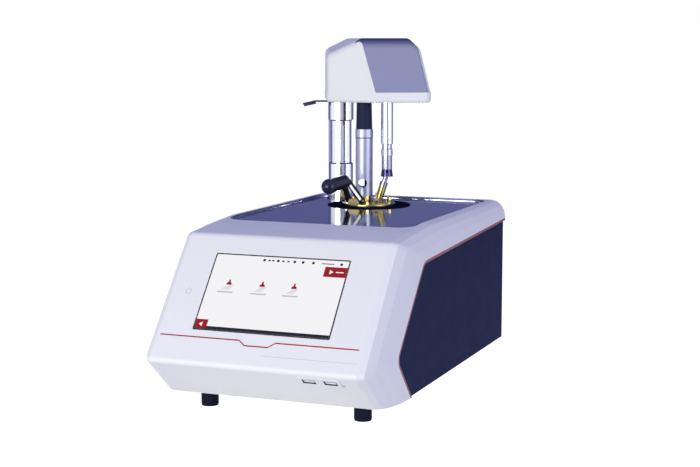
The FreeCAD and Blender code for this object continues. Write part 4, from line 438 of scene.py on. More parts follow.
class Graph:
    """Node tree of one material or of the world."""

    def __init__(self, tree: bpy.types.NodeTree) -> None:
        """Empty a tree and keep it."""
        self.tree = tree
        tree.nodes.clear()

    def add(self, kind: str, settings: Optional[Mapping[str, object]] = None,
            inputs: Optional[Mapping[Union[int, str], object]] = None,
            output: Union[int, str] = 0) -> Signal:
        """Add a node, set it up and link it.

        Args:
            kind: The node's type.
            settings: Its own properties, and a ramp's "stops" as pairs of place and colour.
            inputs: Values or signals for its inputs, by name or number.
            output: Which output is returned.
        Returns:
            That output.
        """
        node = self.tree.nodes.new(kind)
        for key, value in (settings or {}).items():
            if key == "stops":
                self._stops(node.color_ramp, value)
            else:
                setattr(node, key, value)
        for key, value in (inputs or {}).items():
            if isinstance(value, Signal):
                self.tree.links.new(value.socket, node.inputs[key])
            elif isinstance(value, tuple) and len(value) == 3 and node.inputs[key].type == "RGBA":
                node.inputs[key].default_value = (*value, 1.0)
            else:
                node.inputs[key].default_value = value
        return Signal(self, node.outputs[output] if len(node.outputs) else None)

    @staticmethod
    def _stops(ramp: bpy.types.ColorRamp, stops: Sequence[tuple[float, float]]) -> None:
        """Give a ramp its stops, each a place and a grey level."""
        while len(ramp.elements) < len(stops):
            ramp.elements.new(0.5)
        for element, (place, level) in zip(ramp.elements, stops):
            element.position = place
            element.color = (level, level, level, 1.0)

    def where(self) -> Signal:
        """Object coordinates, in metres."""
        return self.add("ShaderNodeTexCoord", output="Object")

    def part(self, vector: Signal, axis: str) -> Signal:
        """One coordinate of a vector."""
        return self.add("ShaderNodeSeparateXYZ", inputs={0: vector}, output=axis)

    def stretched(self, scale: Colour) -> Signal:
        """Object coordinates times a scale along each axis."""
        return self.add("ShaderNodeMapping", inputs={"Vector": self.where(), "Scale": scale})

    def noise(self, size: float, detail: float = 2.0, vector: Optional[Signal] = None) -> Signal:
        """Soft noise from 0 to 1, with grains of a size in metres, or of 1 for a stretched vector."""
        return self.add("ShaderNodeTexNoise", inputs={"Vector": vector or self.where(), "Scale": 1.0 / size,
                                                      "Detail": detail, "Roughness": NOISE_GAIN})

    def height(self, signal: Signal, depth: float) -> Signal:
        """Normal that follows a height from 0 to 1, where 1 stands for a depth in metres."""
        return self.add("ShaderNodeBump", inputs={"Height": signal, "Distance": depth, "Strength": 1.0})

    def blend(self, factor: Number, first: Union[Colour, Signal], second: Union[Colour, Signal]) -> Signal:
        """Colour between two colours."""
        return self.add("ShaderNodeMix", {"data_type": "RGBA"}, {0: factor, 6: first, 7: second}, output=2)


def tone(colour: Colour, share: float) -> Colour:
    """A colour made lighter or darker by a share."""
    return tuple(min(1.0, channel * share) for channel in colour)


# Finishes
@dataclass(frozen=True)
class Finish:
    """A material with fine grain; the classes below add to it."""

    name: str
    colour: Colour
    roughness: float = 0.5
    metallic: float = 0.0
    grain: float = 0.8 * MM
    depth: float = 0.02 * MM
    spread: float = 0.04
    coat: float = 0.0
    coat_roughness: float = 0.1
    specular: float = 0.5
    gloss_tint: Colour = (1.0, 1.0, 1.0)

    def tint(self, graph: Graph) -> Signal:
        """Base colour, a little uneven."""
        return graph.blend(graph.noise(TINT_PATCH * self.grain, 3.0), tone(self.colour, 1 - self.spread),
                           tone(self.colour, 1 + self.spread))

    def surface(self, graph: Graph) -> Signal:
        """Height of the fine grain, from 0 to 1."""
        return graph.noise(self.grain, 3.0)

    def rough(self, graph: Graph) -> Number:
        """Roughness, a little uneven."""
        return self.roughness * (GLOSS_FLOOR + GLOSS_SPREAD * graph.noise(GLOSS_PATCH * self.grain))

    def material(self) -> bpy.types.Material:
        """Build the node material, once for each finish.

        Returns:
            The material.
        """
        called = f"finish_{self.name}"
        if called in bpy.data.materials:
            return bpy.data.materials[called]
        made = bpy.data.materials.new(called)
        made.use_nodes = True
        graph = Graph(made.node_tree)
        inputs = {"Base Color": self.tint(graph), "Roughness": self.rough(graph), "Metallic": self.metallic,
                  "Normal": graph.height(self.surface(graph), self.depth),
                  "Coat Weight": self.coat, "Coat Roughness": self.coat_roughness,
                  "Specular IOR Level": self.specular, "Specular Tint": self.gloss_tint}
        shader = graph.add("ShaderNodeBsdfPrincipled", inputs={**inputs, **self.extra(graph)})
        graph.add("ShaderNodeOutputMaterial", inputs={"Surface": shader})
        made.diffuse_color = (*self.colour, 1.0)
        return made

    def extra(self, graph: Graph) -> Mapping[str, object]:
        """Further inputs of the shader."""
        return {}


@dataclass(frozen=True)
class TurnedMetal(Finish):
    """Metal with fine rings left by a lathe, across its upright axis."""

    ring: float = 0.35 * MM

    def surface(self, graph: Graph) -> Signal:
        """Rings: noise that changes fast along Z and slowly across it."""
        slow = 1.0 / (RING_RUN * self.ring)
        return graph.noise(1.0, 2.0, graph.stretched((slow, slow, 1.0 / self.ring)))


@dataclass(frozen=True)
class SteppedMetal(TurnedMetal):
    """Turned metal whose colour changes at given heights; each zone holds its foot and its colour."""

    zones: tuple[tuple[float, Colour], ...] = ()

    def tint(self, graph: Graph) -> Signal:
        """Colour of the lowest zone, then of each zone from its foot up."""
        height = graph.part(graph.where(), "Z")
        signal = super().tint(graph)
        for foot, colour in self.zones:
            signal = graph.blend(height.above(foot), signal, colour)
        return signal


@dataclass(frozen=True)
class BrushedMetal(Finish):
    """Sheet metal with long fine streaks along X."""

    streak: float = 0.25 * MM

    def surface(self, graph: Graph) -> Signal:
        """Streaks: noise that changes fast across Y and Z and slowly along X."""
        fast = 1.0 / self.streak
        return graph.noise(1.0, 2.0, graph.stretched((fast / STREAK_RUN, fast, fast)))


@dataclass(frozen=True)
class DeckMetal(Finish):
    """Polished pan whose upturned lip has its own colour and is less sharp than its floor."""

    lip_colour: Colour = (0.11, 0.13, 0.31)
    lip_foot: float = 192.1 * MM
    lip_dulling: float = 0.45

    def lip(self, graph: Graph) -> Signal:
        """1 on the lip, 0 on the floor."""
        return graph.part(graph.where(), "Z").above(self.lip_foot)

    def tint(self, graph: Graph) -> Signal:
        """Floor's colour, and the lip's."""
        return graph.blend(1.0 - self.lip(graph), self.lip_colour, super().tint(graph))

    def rough(self, graph: Graph) -> Number:
        """Mirror floor and satin lip."""
        return self.roughness + self.lip_dulling * self.lip(graph)


@dataclass(frozen=True)
class PaintedShadePanel(Finish):
    """Moulded panel whose colour darkens towards its rounded top: painted shade."""

    # Colour of the painted shade at the rounded top, and the heights between which it comes in
    dark: Colour = (0.038, 0.038, 0.150)
    shade_foot: float = 383.0 * MM
    shade_head: float = 395.0 * MM

    def tint(self, graph: Graph) -> Signal:
        """Panel colour that goes over to the dark colour of the painted shade between two heights."""
        share = graph.add("ShaderNodeMapRange", {"interpolation_type": "SMOOTHSTEP"}, {
            0: graph.part(graph.where(), "Z"), 1: self.shade_foot, 2: self.shade_head})
        return graph.blend(share, super().tint(graph), self.dark)


@dataclass(frozen=True)
class Board(Finish):
    """Circuit board with pale tracks."""

    track: float = 3.0 * MM
    run: float = 0.12
    edges: tuple[float, float] = (0.56, 0.60)
    lift: float = 1.9

    def tint(self, graph: Graph) -> Signal:
        """Green lacquer over tracks: the peaks of noise drawn out along X and along Y."""
        across = graph.noise(self.track, 0.0, graph.stretched((1.0, self.run, 1.0))).above(self.edges[0])
        along = graph.noise(self.track, 0.0, graph.stretched((self.run, 1.0, 1.0))).above(self.edges[1])
        return graph.blend(across.at_least(along), self.colour, tone(self.colour, self.lift))


@dataclass(frozen=True)
class Lit(Finish):
    """Part of a lit page behind clear glass."""

    roughness: float = 0.12
    specular: float = 0.1
    strength: float = 0.9
    cell: float = 1.0 * MM
    unlit: tuple[float, float] = (0.02, 0.04)

    def extra(self, graph: Graph) -> Mapping[str, object]:
        """Light of the page's own colour."""
        return {"Emission Color": self.colour, "Emission Strength": self.strength}

    def tint(self, graph: Graph) -> Signal:
        """Dark behind the light, with a faint grid of cells."""
        return graph.blend(graph.noise(self.cell, 0.0), *(tone(self.colour, share) for share in self.unlit))


COVER = Finish("cover_white", (0.80, 0.80, 0.82), 0.48, grain=0.9 * MM, depth=0.012 * MM, spread=0.010,
               specular=0.25)
NAVY = Finish("panel_navy", (0.016, 0.021, 0.062), 0.70, grain=0.6 * MM, depth=0.03 * MM, spread=0.05,
              specular=0.03)
TRIM = Finish("trim_orange", (0.26, 0.038, 0.036), 0.35, spread=0.05, specular=0.2)
STRIPE = Finish("stripe_red", (0.38, 0.024, 0.022), 0.40, spread=0.05, specular=0.2)
DECK = DeckMetal("deck_steel", (0.48, 0.52, 0.62), 0.09, 1.0, grain=3.0 * MM, depth=0.003 * MM, spread=0.05)
CHROME = TurnedMetal("polished_chrome", (0.87, 0.88, 0.94), 0.17, 1.0, depth=0.002 * MM, spread=0.02)
SATIN = TurnedMetal("satin_steel", (0.60, 0.61, 0.74), 0.22, 1.0, depth=0.006 * MM, spread=0.03)
TUBE = TurnedMetal("tube_steel", (0.34, 0.36, 0.51), 0.40, 0.75, depth=0.004 * MM, spread=0.03, specular=0.3)
COLLAR = TurnedMetal("sensor_collar", (0.37, 0.39, 0.53), 0.42, 0.75, depth=0.004 * MM, spread=0.03,
                     specular=0.3)
DRIVE = SteppedMetal("drive_steel", (0.035, 0.032, 0.10), 0.14, 1.0, depth=0.002 * MM, spread=0.03, zones=(
    (236.0 * MM, (0.36, 0.36, 0.52)), (253.0 * MM, (0.55, 0.55, 0.70)), (260.6 * MM, (0.16, 0.15, 0.32)),
    (261.6 * MM, (0.50, 0.50, 0.65)), (266.0 * MM, (0.20, 0.19, 0.38)), (267.0 * MM, (0.70, 0.71, 0.81))))
STIRRER = TurnedMetal("stirrer_steel", (0.20, 0.19, 0.34), 0.16, 1.0, depth=0.002 * MM, spread=0.03)
DARK_STEEL = Finish("lever_dark", (0.050, 0.045, 0.150), 0.50, depth=0.006 * MM, spread=0.08, specular=0.08)
RING_BLACK = Finish("ring_black", (0.007, 0.008, 0.024), 0.70, depth=0.01 * MM, spread=0.15, specular=0.0)
ROD = TurnedMetal("rod_steel", (0.42, 0.40, 0.66), 0.14, 1.0, depth=0.002 * MM, spread=0.03)
ALUMINIUM = BrushedMetal("machined_aluminium", (0.72, 0.73, 0.77), 0.30, 1.0, depth=0.01 * MM)
BRASS = TurnedMetal("lid_brass", (0.58, 0.48, 0.22), 0.20, 1.0, depth=0.006 * MM, spread=0.12)
BUSH = TurnedMetal("bush_brass", (0.26, 0.22, 0.09), 0.20, 1.0, depth=0.006 * MM, spread=0.12)
COPPER = TurnedMetal("igniter_copper", (0.85, 0.55, 0.40), 0.20, 1.0, depth=0.006 * MM, spread=0.08)
RUBBER = Finish("foot_rubber", (0.008, 0.010, 0.026), 0.75, grain=0.5 * MM, depth=0.04 * MM, spread=0.15,
                specular=0.06)
BLACK = Finish("black_plastic", (0.016, 0.019, 0.055), 0.55, grain=0.5 * MM, depth=0.02 * MM, spread=0.12,
               specular=0.08)
SHEEN_BLACK = Finish("arm_black", (0.006, 0.007, 0.016), 0.38, depth=0.01 * MM, spread=0.10, specular=0.10)
GLOSS_BLACK = Finish("grip_black", (0.006, 0.006, 0.020), 0.26, depth=0.004 * MM, spread=0.10, specular=0.50,
                     gloss_tint=(0.60, 0.62, 1.00))
# Lavender panel with painted shade towards its rounded top
LAVENDER_PAINTED_SHADE = PaintedShadePanel("head_panel", (0.275, 0.290, 0.440), 0.35, depth=0.006 * MM, spread=0.015,
                       specular=0.3)
GLASS = Finish("display_glass", (0.006, 0.006, 0.010), 0.06, depth=0.001 * MM, coat=0.3, coat_roughness=0.03)
FOAM = Finish("foam_black", (0.045, 0.045, 0.05), 0.9, grain=1.2 * MM, depth=0.3 * MM, spread=0.2)
CERAMIC = Finish("ceramic_white", (0.82, 0.82, 0.80), 0.45, depth=0.01 * MM)
TIN = BrushedMetal("socket_tin", (0.80, 0.81, 0.84), 0.45, 0.3, depth=0.01 * MM, spread=0.04)
ZINC = BrushedMetal("sheet_zinc", (0.50, 0.52, 0.56), 0.42, 0.7, depth=0.02 * MM, spread=0.10)
GREEN = Board("board_green", (0.020, 0.110, 0.055), 0.35, depth=0.01 * MM, coat=0.2)
PRINT = Finish("print_grey", (0.50, 0.51, 0.58), 0.5)
PAGE = Lit("page_white", (0.96, 0.955, 0.975))
PAGE_DARK = Lit("page_dark", (0.018, 0.016, 0.034))
PAGE_RED = Lit("page_red", (0.330, 0.010, 0.018))
PAGE_GREY = Lit("page_grey", (0.55, 0.55, 0.58))
PAGE_SHADE = Lit("page_shade", (0.78, 0.78, 0.81))


class Finishes(Enum):
    """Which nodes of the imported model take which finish."""

    COVER = (COVER, "housing_shell head_shell socket_surround")
    NAVY = (NAVY, "side_panel_right side_panel_left")
    TRIM = (TRIM, "side_trims")
    STRIPE = (STRIPE, "front_stripe")
    DECK = (DECK, "deck_plate")
    CHROME = (CHROME, "lift_column column_sleeve upper_collar")
    DRIVE = (DRIVE, "stirrer_drive")
    STIRRER = (STIRRER, "stirrer")
    ROD = (ROD, "guide_rod")
    RING_BLACK = (RING_BLACK, "well_ring guide_bush usb_sockets")
    DARK_STEEL = (DARK_STEEL, "clamp_lever")
    SATIN = (SATIN, "foot_screws head_screws drive_bearing stirrer_motor lift_screw temperature_probe")
    TUBE = (TUBE, "detector_tube")
    ALUMINIUM = (ALUMINIUM, "cooling_block heat_sink lift_frame lift_carriage column_clamp motor_mount")
    BRASS = (BRASS, "test_cup cup_lid lid_shutter lid_fittings handle_bracket")
    BUSH = (BUSH, "stirrer_bush")
    COPPER = (COPPER, "igniter")
    RUBBER = (RUBBER, "feet")
    BLACK = (BLACK, "display_panel fan_frame fan_rotor lift_motor detector_plug power_inlet switch_frame")
    SHEEN_BLACK = (SHEEN_BLACK, "handle_fork")
    GLOSS_BLACK = (GLOSS_BLACK, "handle_grip power_rocker")
    LAVENDER_PAINTED_SHADE = (LAVENDER_PAINTED_SHADE, "head_front_panel")
    GLASS = (GLASS, "display_glass")
    FOAM = (FOAM, "insulation")
    CERAMIC = (CERAMIC, "peltier_element")
    ZINC = (ZINC, "base_plate rear_panel head_base power_supply")
    GREEN = (GREEN, "display_board head_board main_board")

    def __init__(self, finish: Finish, nodes: str) -> None:
        """Keep the finish and the nodes' names."""
        self.finish = finish
        self.nodes = nodes.split()


def paint(thing: bpy.types.Object, finish: Finish) -> None:
    """Give an object one finish.

    Args:
        thing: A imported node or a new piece.
        finish: Its finish.
    """
    if not thing.material_slots:
        thing.data.materials.append(None)
    for holder in thing.material_slots:
        holder.link = "OBJECT"
        holder.material = finish.material()


def settle(thing: bpy.types.Object, finish: Finish, body: str = "root",
           stands_for: Sequence[str] = ()) -> None:
    """Dress a new piece and fix it to the model.

    Args:
        thing: The piece.
        finish: Its finish.
        body: The body that carries it.
        stands_for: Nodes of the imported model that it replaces.
    """
    thing.data.materials.append(finish.material())
    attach(thing, body)
    if stands_for:
        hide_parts(*stands_for)
    log.info("%s rides on %s, %d faces", thing.name, body, len(thing.data.polygons))


# Sub-assemblies
@dataclass
class Display:
    """The lit page on the slope; distances down run from the crease."""

    half_width: float = 76.2 * MM
    top: float = 24.8 * MM
    bottom: float = 116.2 * MM
    border: float = 0.5 * MM
    bar: float = 3.6 * MM
    sheet: float = 0.05 * MM
    icons: Sizes = lengths(-51.7, -13.4, 22.8)
    icon_down: float = 58.8 * MM
    icon_size: float = 3.3 * MM
    flask: Outline = ((-0.9, 0.9), (0.9, 0.9), (0.9, 0.3), (0.3, -0.2), (0.3, -1.0), (-0.3, -1.0),
                      (-0.3, -0.2), (-0.9, 0.3))
    shade: Outline = pairs((-8.0, 68.0), (-2.0, 63.0), (6.0, 61.0), (1.0, 68.0))
    caption: Outline = pairs((-11.0, 69.8), (7.0, 69.8), (7.0, 71.4), (-11.0, 71.4))
    corner_tile: Sizes = lengths(-62.0, 104.5)
    tile_gap: float = 0.8 * MM
    button: Sizes = lengths(51.0, 33.0, 45.0)
    dots: Sizes = lengths(-19.6, -3.7, 15.2, 24.7, 36.3, 68.0)
    dot_down: float = 29.5 * MM
    dot_radius: float = 1.6 * MM
    dot_sides: int = 16
    dashes: Sizes = lengths(-13.8, -9.5, 2.1, 7.9)
    dash: Sizes = lengths(1.3, 28.6, 30.4)
    rule: Sizes = lengths(46.0, 60.0, 29.1, 30.1)
    arrows: tuple[Outline, ...] = (pairs((-71.5, 110.2), (-67.6, 107.4), (-67.6, 113.0)),
                                   pairs((57.0, 36.4), (57.0, 41.6), (61.5, 39.0)))
    button_line: Sizes = lengths(64.0, 72.5, 38.4, 39.6)

    def show(self, name: str, outlines: Sequence[Outline], layer: int, finish: Finish) -> None:
        """Put outlines on the page.

        Args:
            name: The piece's name.
            outlines: Outlines as X and the distance down from the crease.
            layer: Which layer over the glass they lie in.
            finish: Their colour.
        """
        flipped = [np.asarray(outline, float)[::-1] * np.array([1.0, -1.0]) for outline in outlines]
        sheet = prism_piece(name, flipped, SLOPE, layer * self.sheet, (layer + 1) * self.sheet)
        settle(sheet, finish)

    def at_icons(self, outline: Outline, size: float = 1.0, down: float = 0.0) -> list[np.ndarray]:
        """The same outline at each icon, times a size and moved down."""
        return [np.asarray(outline) * size + np.array([x, down]) for x in self.icons]

    def build(self) -> None:
        """Lay the page, its bar, tiles, flasks, captions and signs."""
        left, right = -self.half_width + self.border, self.half_width - self.border
        low, high = self.bottom - self.border, self.top + self.border
        corner, corner_top = self.corner_tile
        half, dash_top, dash_foot = self.dash
        self.show("screen_page", [box_outline(left, right, high, low)], 0, PAGE)
        self.show("screen_bar", [box_outline(left, right, low - self.bar, low)], 1, PAGE_DARK)
        tiles = [box_outline(left, corner, corner_top, low - self.tile_gap),
                 box_outline(self.button[0], right, *self.button[1:])]
        self.show("screen_tiles", tiles, 2, PAGE_RED)
        self.show("screen_flasks", self.at_icons(self.flask, self.icon_size, self.icon_down), 2, PAGE_RED)
        self.show("screen_shades", self.at_icons(self.shade), 1, PAGE_SHADE)
        self.show("screen_captions", self.at_icons(self.caption), 2, PAGE_GREY)
        states = [disc_outline(x, self.dot_down, self.dot_radius, self.dot_sides) for x in self.dots]
        states += [box_outline(x - half, x + half, dash_top, dash_foot) for x in self.dashes]
        self.show("screen_states", states + [box_outline(*self.rule)], 2, PAGE_DARK)
        self.show("screen_signs", [*self.arrows, box_outline(*self.button_line)], 3, PAGE)


@dataclass
class Housing:
    """Printed marks on the housing, on its slope and its lower chamfer."""

    ink: float = 0.03 * MM
    touch: Sizes = lengths(-95.7, -72.2)
    touch_radius: float = 3.1 * MM
    touch_line: float = 0.8 * MM
    touch_arc: tuple[float, float] = (120.0, 420.0)
    touch_stem: Sizes = lengths(0.6, 4.2)
    groove: Sizes = lengths(7.0, 113.0, -141.45, -141.0)
    plug: Sizes = lengths(97.5, -19.0)
    plug_boxes: tuple[Sizes, ...] = pairs(
        (-1.5, 1.5, -2.6, 1.0), (-1.1, -0.4, 1.0, 2.4), (0.4, 1.1, 1.0, 2.4))

    def build(self) -> None:
        """Make the touch mark, the fine groove and the socket mark."""
        (x, y), half = self.touch, self.touch_line / 2
        stem_foot, stem_head = self.touch_stem
        touch = [arc_band(self.touch, self.touch_radius, self.touch_line, *self.touch_arc),
                 box_outline(x - half, x + half, y + stem_foot, y + stem_head)]
        plug = [np.asarray(box_outline(*box)) + np.array(self.plug) for box in self.plug_boxes]
        for name, outlines, place in (("touch_mark", touch, SLOPE),
                                      ("slope_groove", [box_outline(*self.groove)], SLOPE),
                                      ("socket_mark", plug, CHAMFER)):
            settle(prism_piece(name, outlines, place, 0.0, self.ink), PRINT)


@dataclass
class TrimLines:
    """Red lines round the side panels, flush with the band's edge; the outline is in Y and Z."""

    face: float = 130.42 * MM
    crown: float = 132.95 * MM
    width: float = 3.0 * MM
    knee_radius: float = 12.5 * MM
    crest_radius: float = 21.0 * MM
    outline: Outline = pairs((-121.22, 21.10), (-163.83, 68.41), (-79.92, 160.36), (231.90, 172.60))

    def inner(self) -> np.ndarray:
        """Corners of the line's inner edge.

        At a corner the two runs' inward normals n and m, each as long as the
        line is wide, give the shift (n + m) / (1 + n.m / width^2). The ends
        slide along the housing's bottom and back.

        Returns:
            The corners.
        """
        outer = np.asarray(self.outline)
        runs = np.diff(outer, axis=0)
        runs /= np.linalg.norm(runs, axis=1)[:, None]
        inward = np.column_stack([runs[:, 1], -runs[:, 0]]) * self.width
        turn = np.einsum("ij,ij->i", inward[:-1], inward[1:])[:, None] / self.width ** 2
        shift = np.concatenate([[[self.width / runs[0, 1], 0.0]],
                                (inward[:-1] + inward[1:]) / (1 + turn),
                                [[0.0, -self.width / runs[-1, 0]]]])
        return outer + shift

    def build(self) -> None:
        """Lay one line on each side, in place of the plain thin ones."""
        radii = np.array([0.0, self.knee_radius, self.crest_radius, 0.0])
        outer = filleted_line(self.outline, radii)
        band = np.concatenate([filleted_line(self.inner(), radii - self.width), outer[::-1]])
        for name, low, high in (("trim_line_right", self.face, self.crown),
                                ("trim_line_left", -self.crown, -self.face)):
            line = prism_piece(name, [band], ACROSS, low, high)
            settle(line, TRIM, "root", ("side_trims",))


@dataclass
class Lever:
    """Moulded pad under the drooping paddle of the clamp's lever."""

    root: Sizes = lengths(-67.0, 60.0, 124.5)
    droop: float = math.atan2(3.6, 16.0)
    length: float = 15.4 * MM
    half_width: float = 4.6 * MM
    rounding: Sizes = lengths(0.0, 3.0, 3.5, 3.5, 3.0, 0.0)
    steps: int = 6
    layer: Sizes = lengths(-2.4, -0.02)

    def build(self) -> None:
        """Make the pad."""
        cos, sin = math.cos(self.droop), math.sin(self.droop)
        tilted = SWUNG.inside(self.root, np.array([[-cos, 0.0, -sin], [0.0, -1.0, 0.0], [-sin, 0.0, cos]]))
        box = box_outline(0.0, self.length, -self.half_width, self.half_width)
        outline = rounded_line([(0.0, 0.0), *box, (0.0, 0.0)], self.rounding, self.steps)[:-1]
        pad = prism_piece("lever_pad", [outline], tilted, *self.layer)
        settle(pad, DARK_STEEL, "clamp_lever")


@dataclass
class Sensor:
    """Turned pieces of the detector, one a dark sleeve of painted shade; heights are over the deck's top."""

    # The dark sleeve is painted shade: it stands in for the shade inside the cross bore
    bore_shade_place: Sizes = lengths(-3.3, 7.5, 0.0)
    sleeve: Outline = pairs((2.2, 16.0), (2.2, 60.0))
    tube_place: Sizes = lengths(-6.0, 8.0, 0.0)
    collar: Outline = pairs((10.5, 11.0), (83.0, 93.0))
    collar_bevel: float = 0.2 * MM
    joint: Outline = pairs((10.5, 10.8), (82.0, 83.0))
    joint_bevel: float = 0.1 * MM

    def build(self) -> None:
        """Make the dark sleeve behind the cross bore, which is painted shade, then the collar and the joint
        below it.
        """
        sleeve = turned_group("bore_shade_sleeve", self.sleeve, [SWUNG.at(*self.bore_shade_place)])
        settle(sleeve, RING_BLACK, "head")
        axis = SWUNG.at(*self.tube_place)
        collar = ring_piece("sensor_collar", *self.collar, axis, self.collar_bevel)
        settle(collar, COLLAR, "head")
        joint = ring_piece("sensor_joint", *self.joint, axis, self.joint_bevel)
        settle(joint, DARK_STEEL, "head")


@dataclass
class Seals:
    """Thin rings where the column runs into its collar and its sleeve; heights are over the deck's top."""

    column: Sizes = lengths(-35.0, 60.0, 0.0)
    radii: Sizes = lengths(13.45, 14.35)
    depth: float = 1.3 * MM
    bevel: float = 0.15 * MM
    collar_foot: float = 102.3 * MM
    sleeve_head: float = 46.5 * MM

    def build(self) -> None:
        """Make the two rings."""
        for name, low, body in (("collar_seal", self.collar_foot - self.depth, "head"),
                                ("sleeve_wiper", self.sleeve_head, "root")):
            ring = ring_piece(name, self.radii, (low, low + self.depth), SWUNG.at(*self.column), self.bevel)
            settle(ring, DARK_STEEL, body)


@dataclass
class Lid:
    """Small turned and milled pieces on the lid, in the swung frame with heights over the deck's top."""

    top: float = 3.2 * MM
    screw: Sizes = lengths(1.9, 1.3, 0.9)
    screw_circle: float = 27.6 * MM
    screw_angles: Sizes = (20.0, 100.0, 170.0, 285.0, 330.0)
    nut_places: Outline = pairs((25.5, -4.0), (-7.5, -12.5), (24.5, 8.0))
    nut: Outline = pairs((3.4, 0.0), (3.4, 2.4), (2.788, 2.9))
    nut_height: float = 2.9 * MM
    nut_sides: int = 6
    stud: Outline = pairs((2.1, 0.0), (2.1, 3.9), (0.3, 4.6))
    stud_brow: float = 1.2 * MM
    stud_steps: int = 7
    stud_columns: int = 24
    port_place: Sizes = lengths(-21.5, 3.5)
    port: Outline = pairs((3.6, 0.0), (3.6, 1.6), (4.6, 2.1), (4.6, 6.6), (4.2, 7.1), (2.0, 7.1), (1.8, 6.7))
    knurled: tuple[int, ...] = (0, 0, 1, 1, 0, 0, 0)
    knurls: int = 24
    knurl_depth: float = 0.035
    knurl_columns: int = 144
    knurl_sharp: float = 30.0

    def screws(self) -> None:
        """Pan-head screws round the rim."""
        radius = self.screw_circle
        places = [SWUNG.at(radius * math.cos(angle), radius * math.sin(angle), self.top)
                  for angle in np.radians(self.screw_angles)]
        settle(turned_group("lid_screws", screw_head(*self.screw), places), SATIN)

    def nuts(self) -> None:
        """Hexagon nuts with domed studs beside the stirrer's bush and the shutter."""
        places = [SWUNG.at(u, w, self.top) for u, w in self.nut_places]
        settle(turned_group("lid_nuts", self.nut, places, self.nut_sides), BRASS)
        dome = rounded_line(self.stud, [0.0, self.stud_brow, 0.0], self.stud_steps)
        lifted = [place.at(0.0, 0.0, self.nut_height) for place in places]
        settle(turned_group("lid_studs", dome, lifted, self.stud_columns), BRASS)

    def port_plug(self) -> None:
        """Plug of the filling port.

        Its knurled rows have the radius r (1 + depth * sign(sin(knurls * a))),
        the others the plain radius r.
        """
        angle = np.linspace(0.0, 2 * math.pi, self.knurl_columns, endpoint=False)
        flutes = self.knurl_depth * np.sign(np.sin(self.knurls * angle))
        rows = np.asarray(self.port)
        radius = rows[:, :1] * (1.0 + np.array(self.knurled)[:, None] * flutes)
        height = rows[:, 1:] * np.ones_like(angle)
        grid = np.stack([radius * np.cos(angle), radius * np.sin(angle), height], axis=-1)
        placed = SWUNG.at(*self.port_place, self.top).put(grid)
        settle(skin_piece("port_plug", [placed], self.knurl_sharp), BRASS)

    def build(self) -> None:
        """Make every small piece."""
        self.screws()
        self.nuts()
        self.port_plug()


@dataclass
class Handle:
    """Polished strips along the arms of the lid's handle."""

    pivot: Sizes = lengths(-24.815, 119.560, 199.8)
    turn: float = math.radians(156.8)
    half_foot: float = 11.3 * MM
    half_head: float = 4.6 * MM
    reach: float = 17.2 * MM
    rise: float = 24.2 * MM
    arm_skin: float = 1.5 * MM
    thickness: float = 0.7 * MM
    width: float = 3.4 * MM
    edge: float = 0.4 * MM
    foot_gap: float = 3.0 * MM
    head_gap: float = 4.5 * MM

    def build(self) -> None:
        """Lay one strip on the outer face of each arm."""
        bracket = Place(np.array(self.pivot), turned_place(self.turn).axes)
        for number, side in enumerate((-1.0, 1.0)):
            foot = np.array([side * self.half_foot, 0.0, 0.0])
            run = np.array([side * self.half_head, self.reach, self.rise]) - foot
            length = float(np.linalg.norm(run))
            run /= length
            outward = np.array([side, 0.0, 0.0]) - run * run[0] * side
            outward /= np.linalg.norm(outward)
            place = bracket.inside(foot + outward * self.arm_skin,
                                   np.array([run, np.cross(outward, run), outward]))
            outline = box_outline(self.foot_gap, length - self.head_gap, self.edge, self.edge + self.width)
            strip = prism_piece(f"arm_strip_{number}", [outline], place, 0.0, self.thickness)
            settle(strip, CHROME, "handle")


@dataclass
class Rear:
    """Fittings at the back and in the front sockets."""

    back: float = 229.0 * MM
    screw: Sizes = lengths(2.6, 1.1, 1.2)
    screw_places: Outline = pairs((-116.0, 34.0), (116.0, 34.0), (-112.0, 110.0), (112.0, 110.0),
                                  (-98.0, 178.0), (98.0, 178.0), (0.0, 180.0))
    pin: Sizes = lengths(1.0, 3.1)
    pin_places: Outline = pairs((-7.0, -1.2), (0.0, 1.6), (7.0, -1.2))
    pin_foot: float = 4.0 * MM
    pin_length: float = 11.0 * MM
    sockets: Sizes = lengths(61.2, 84.8)
    tongue: Sizes = lengths(6.5, -18.6, -13.3)
    tongue_layer: Sizes = lengths(-9.0, -0.3)

    def outward(self, x: float, z: float, y: float) -> Place:
        """Frame on the back whose Z points out of it."""
        return Place(np.array([x, y, z]), np.array([[-1.0, 0.0, 0.0], [0.0, 0.0, 1.0], [0.0, 1.0, 0.0]]))

    def build(self) -> None:
        """Make the panel's screws, the inlet's three flat pins and the sockets' pale tongues."""
        places = [self.outward(x, z, self.back) for x, z in self.screw_places]
        settle(turned_group("rear_screws", screw_head(*self.screw), places), SATIN)
        low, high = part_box("power_inlet")
        floor = self.outward((low[0] + high[0]) / 2, (low[2] + high[2]) / 2, low[1] + self.pin_foot)
        half, tall = self.pin
        pins = [box_outline(x - half, x + half, z - tall, z + tall) for x, z in self.pin_places]
        settle(prism_piece("inlet_pins", pins, floor, 0.0, self.pin_length), SATIN)
        half, foot, head = self.tongue
        tongues = [box_outline(x - half, x + half, foot, head) for x in self.sockets]
        settle(prism_piece("socket_tongues", tongues, CHAMFER, *self.tongue_layer), TIN)


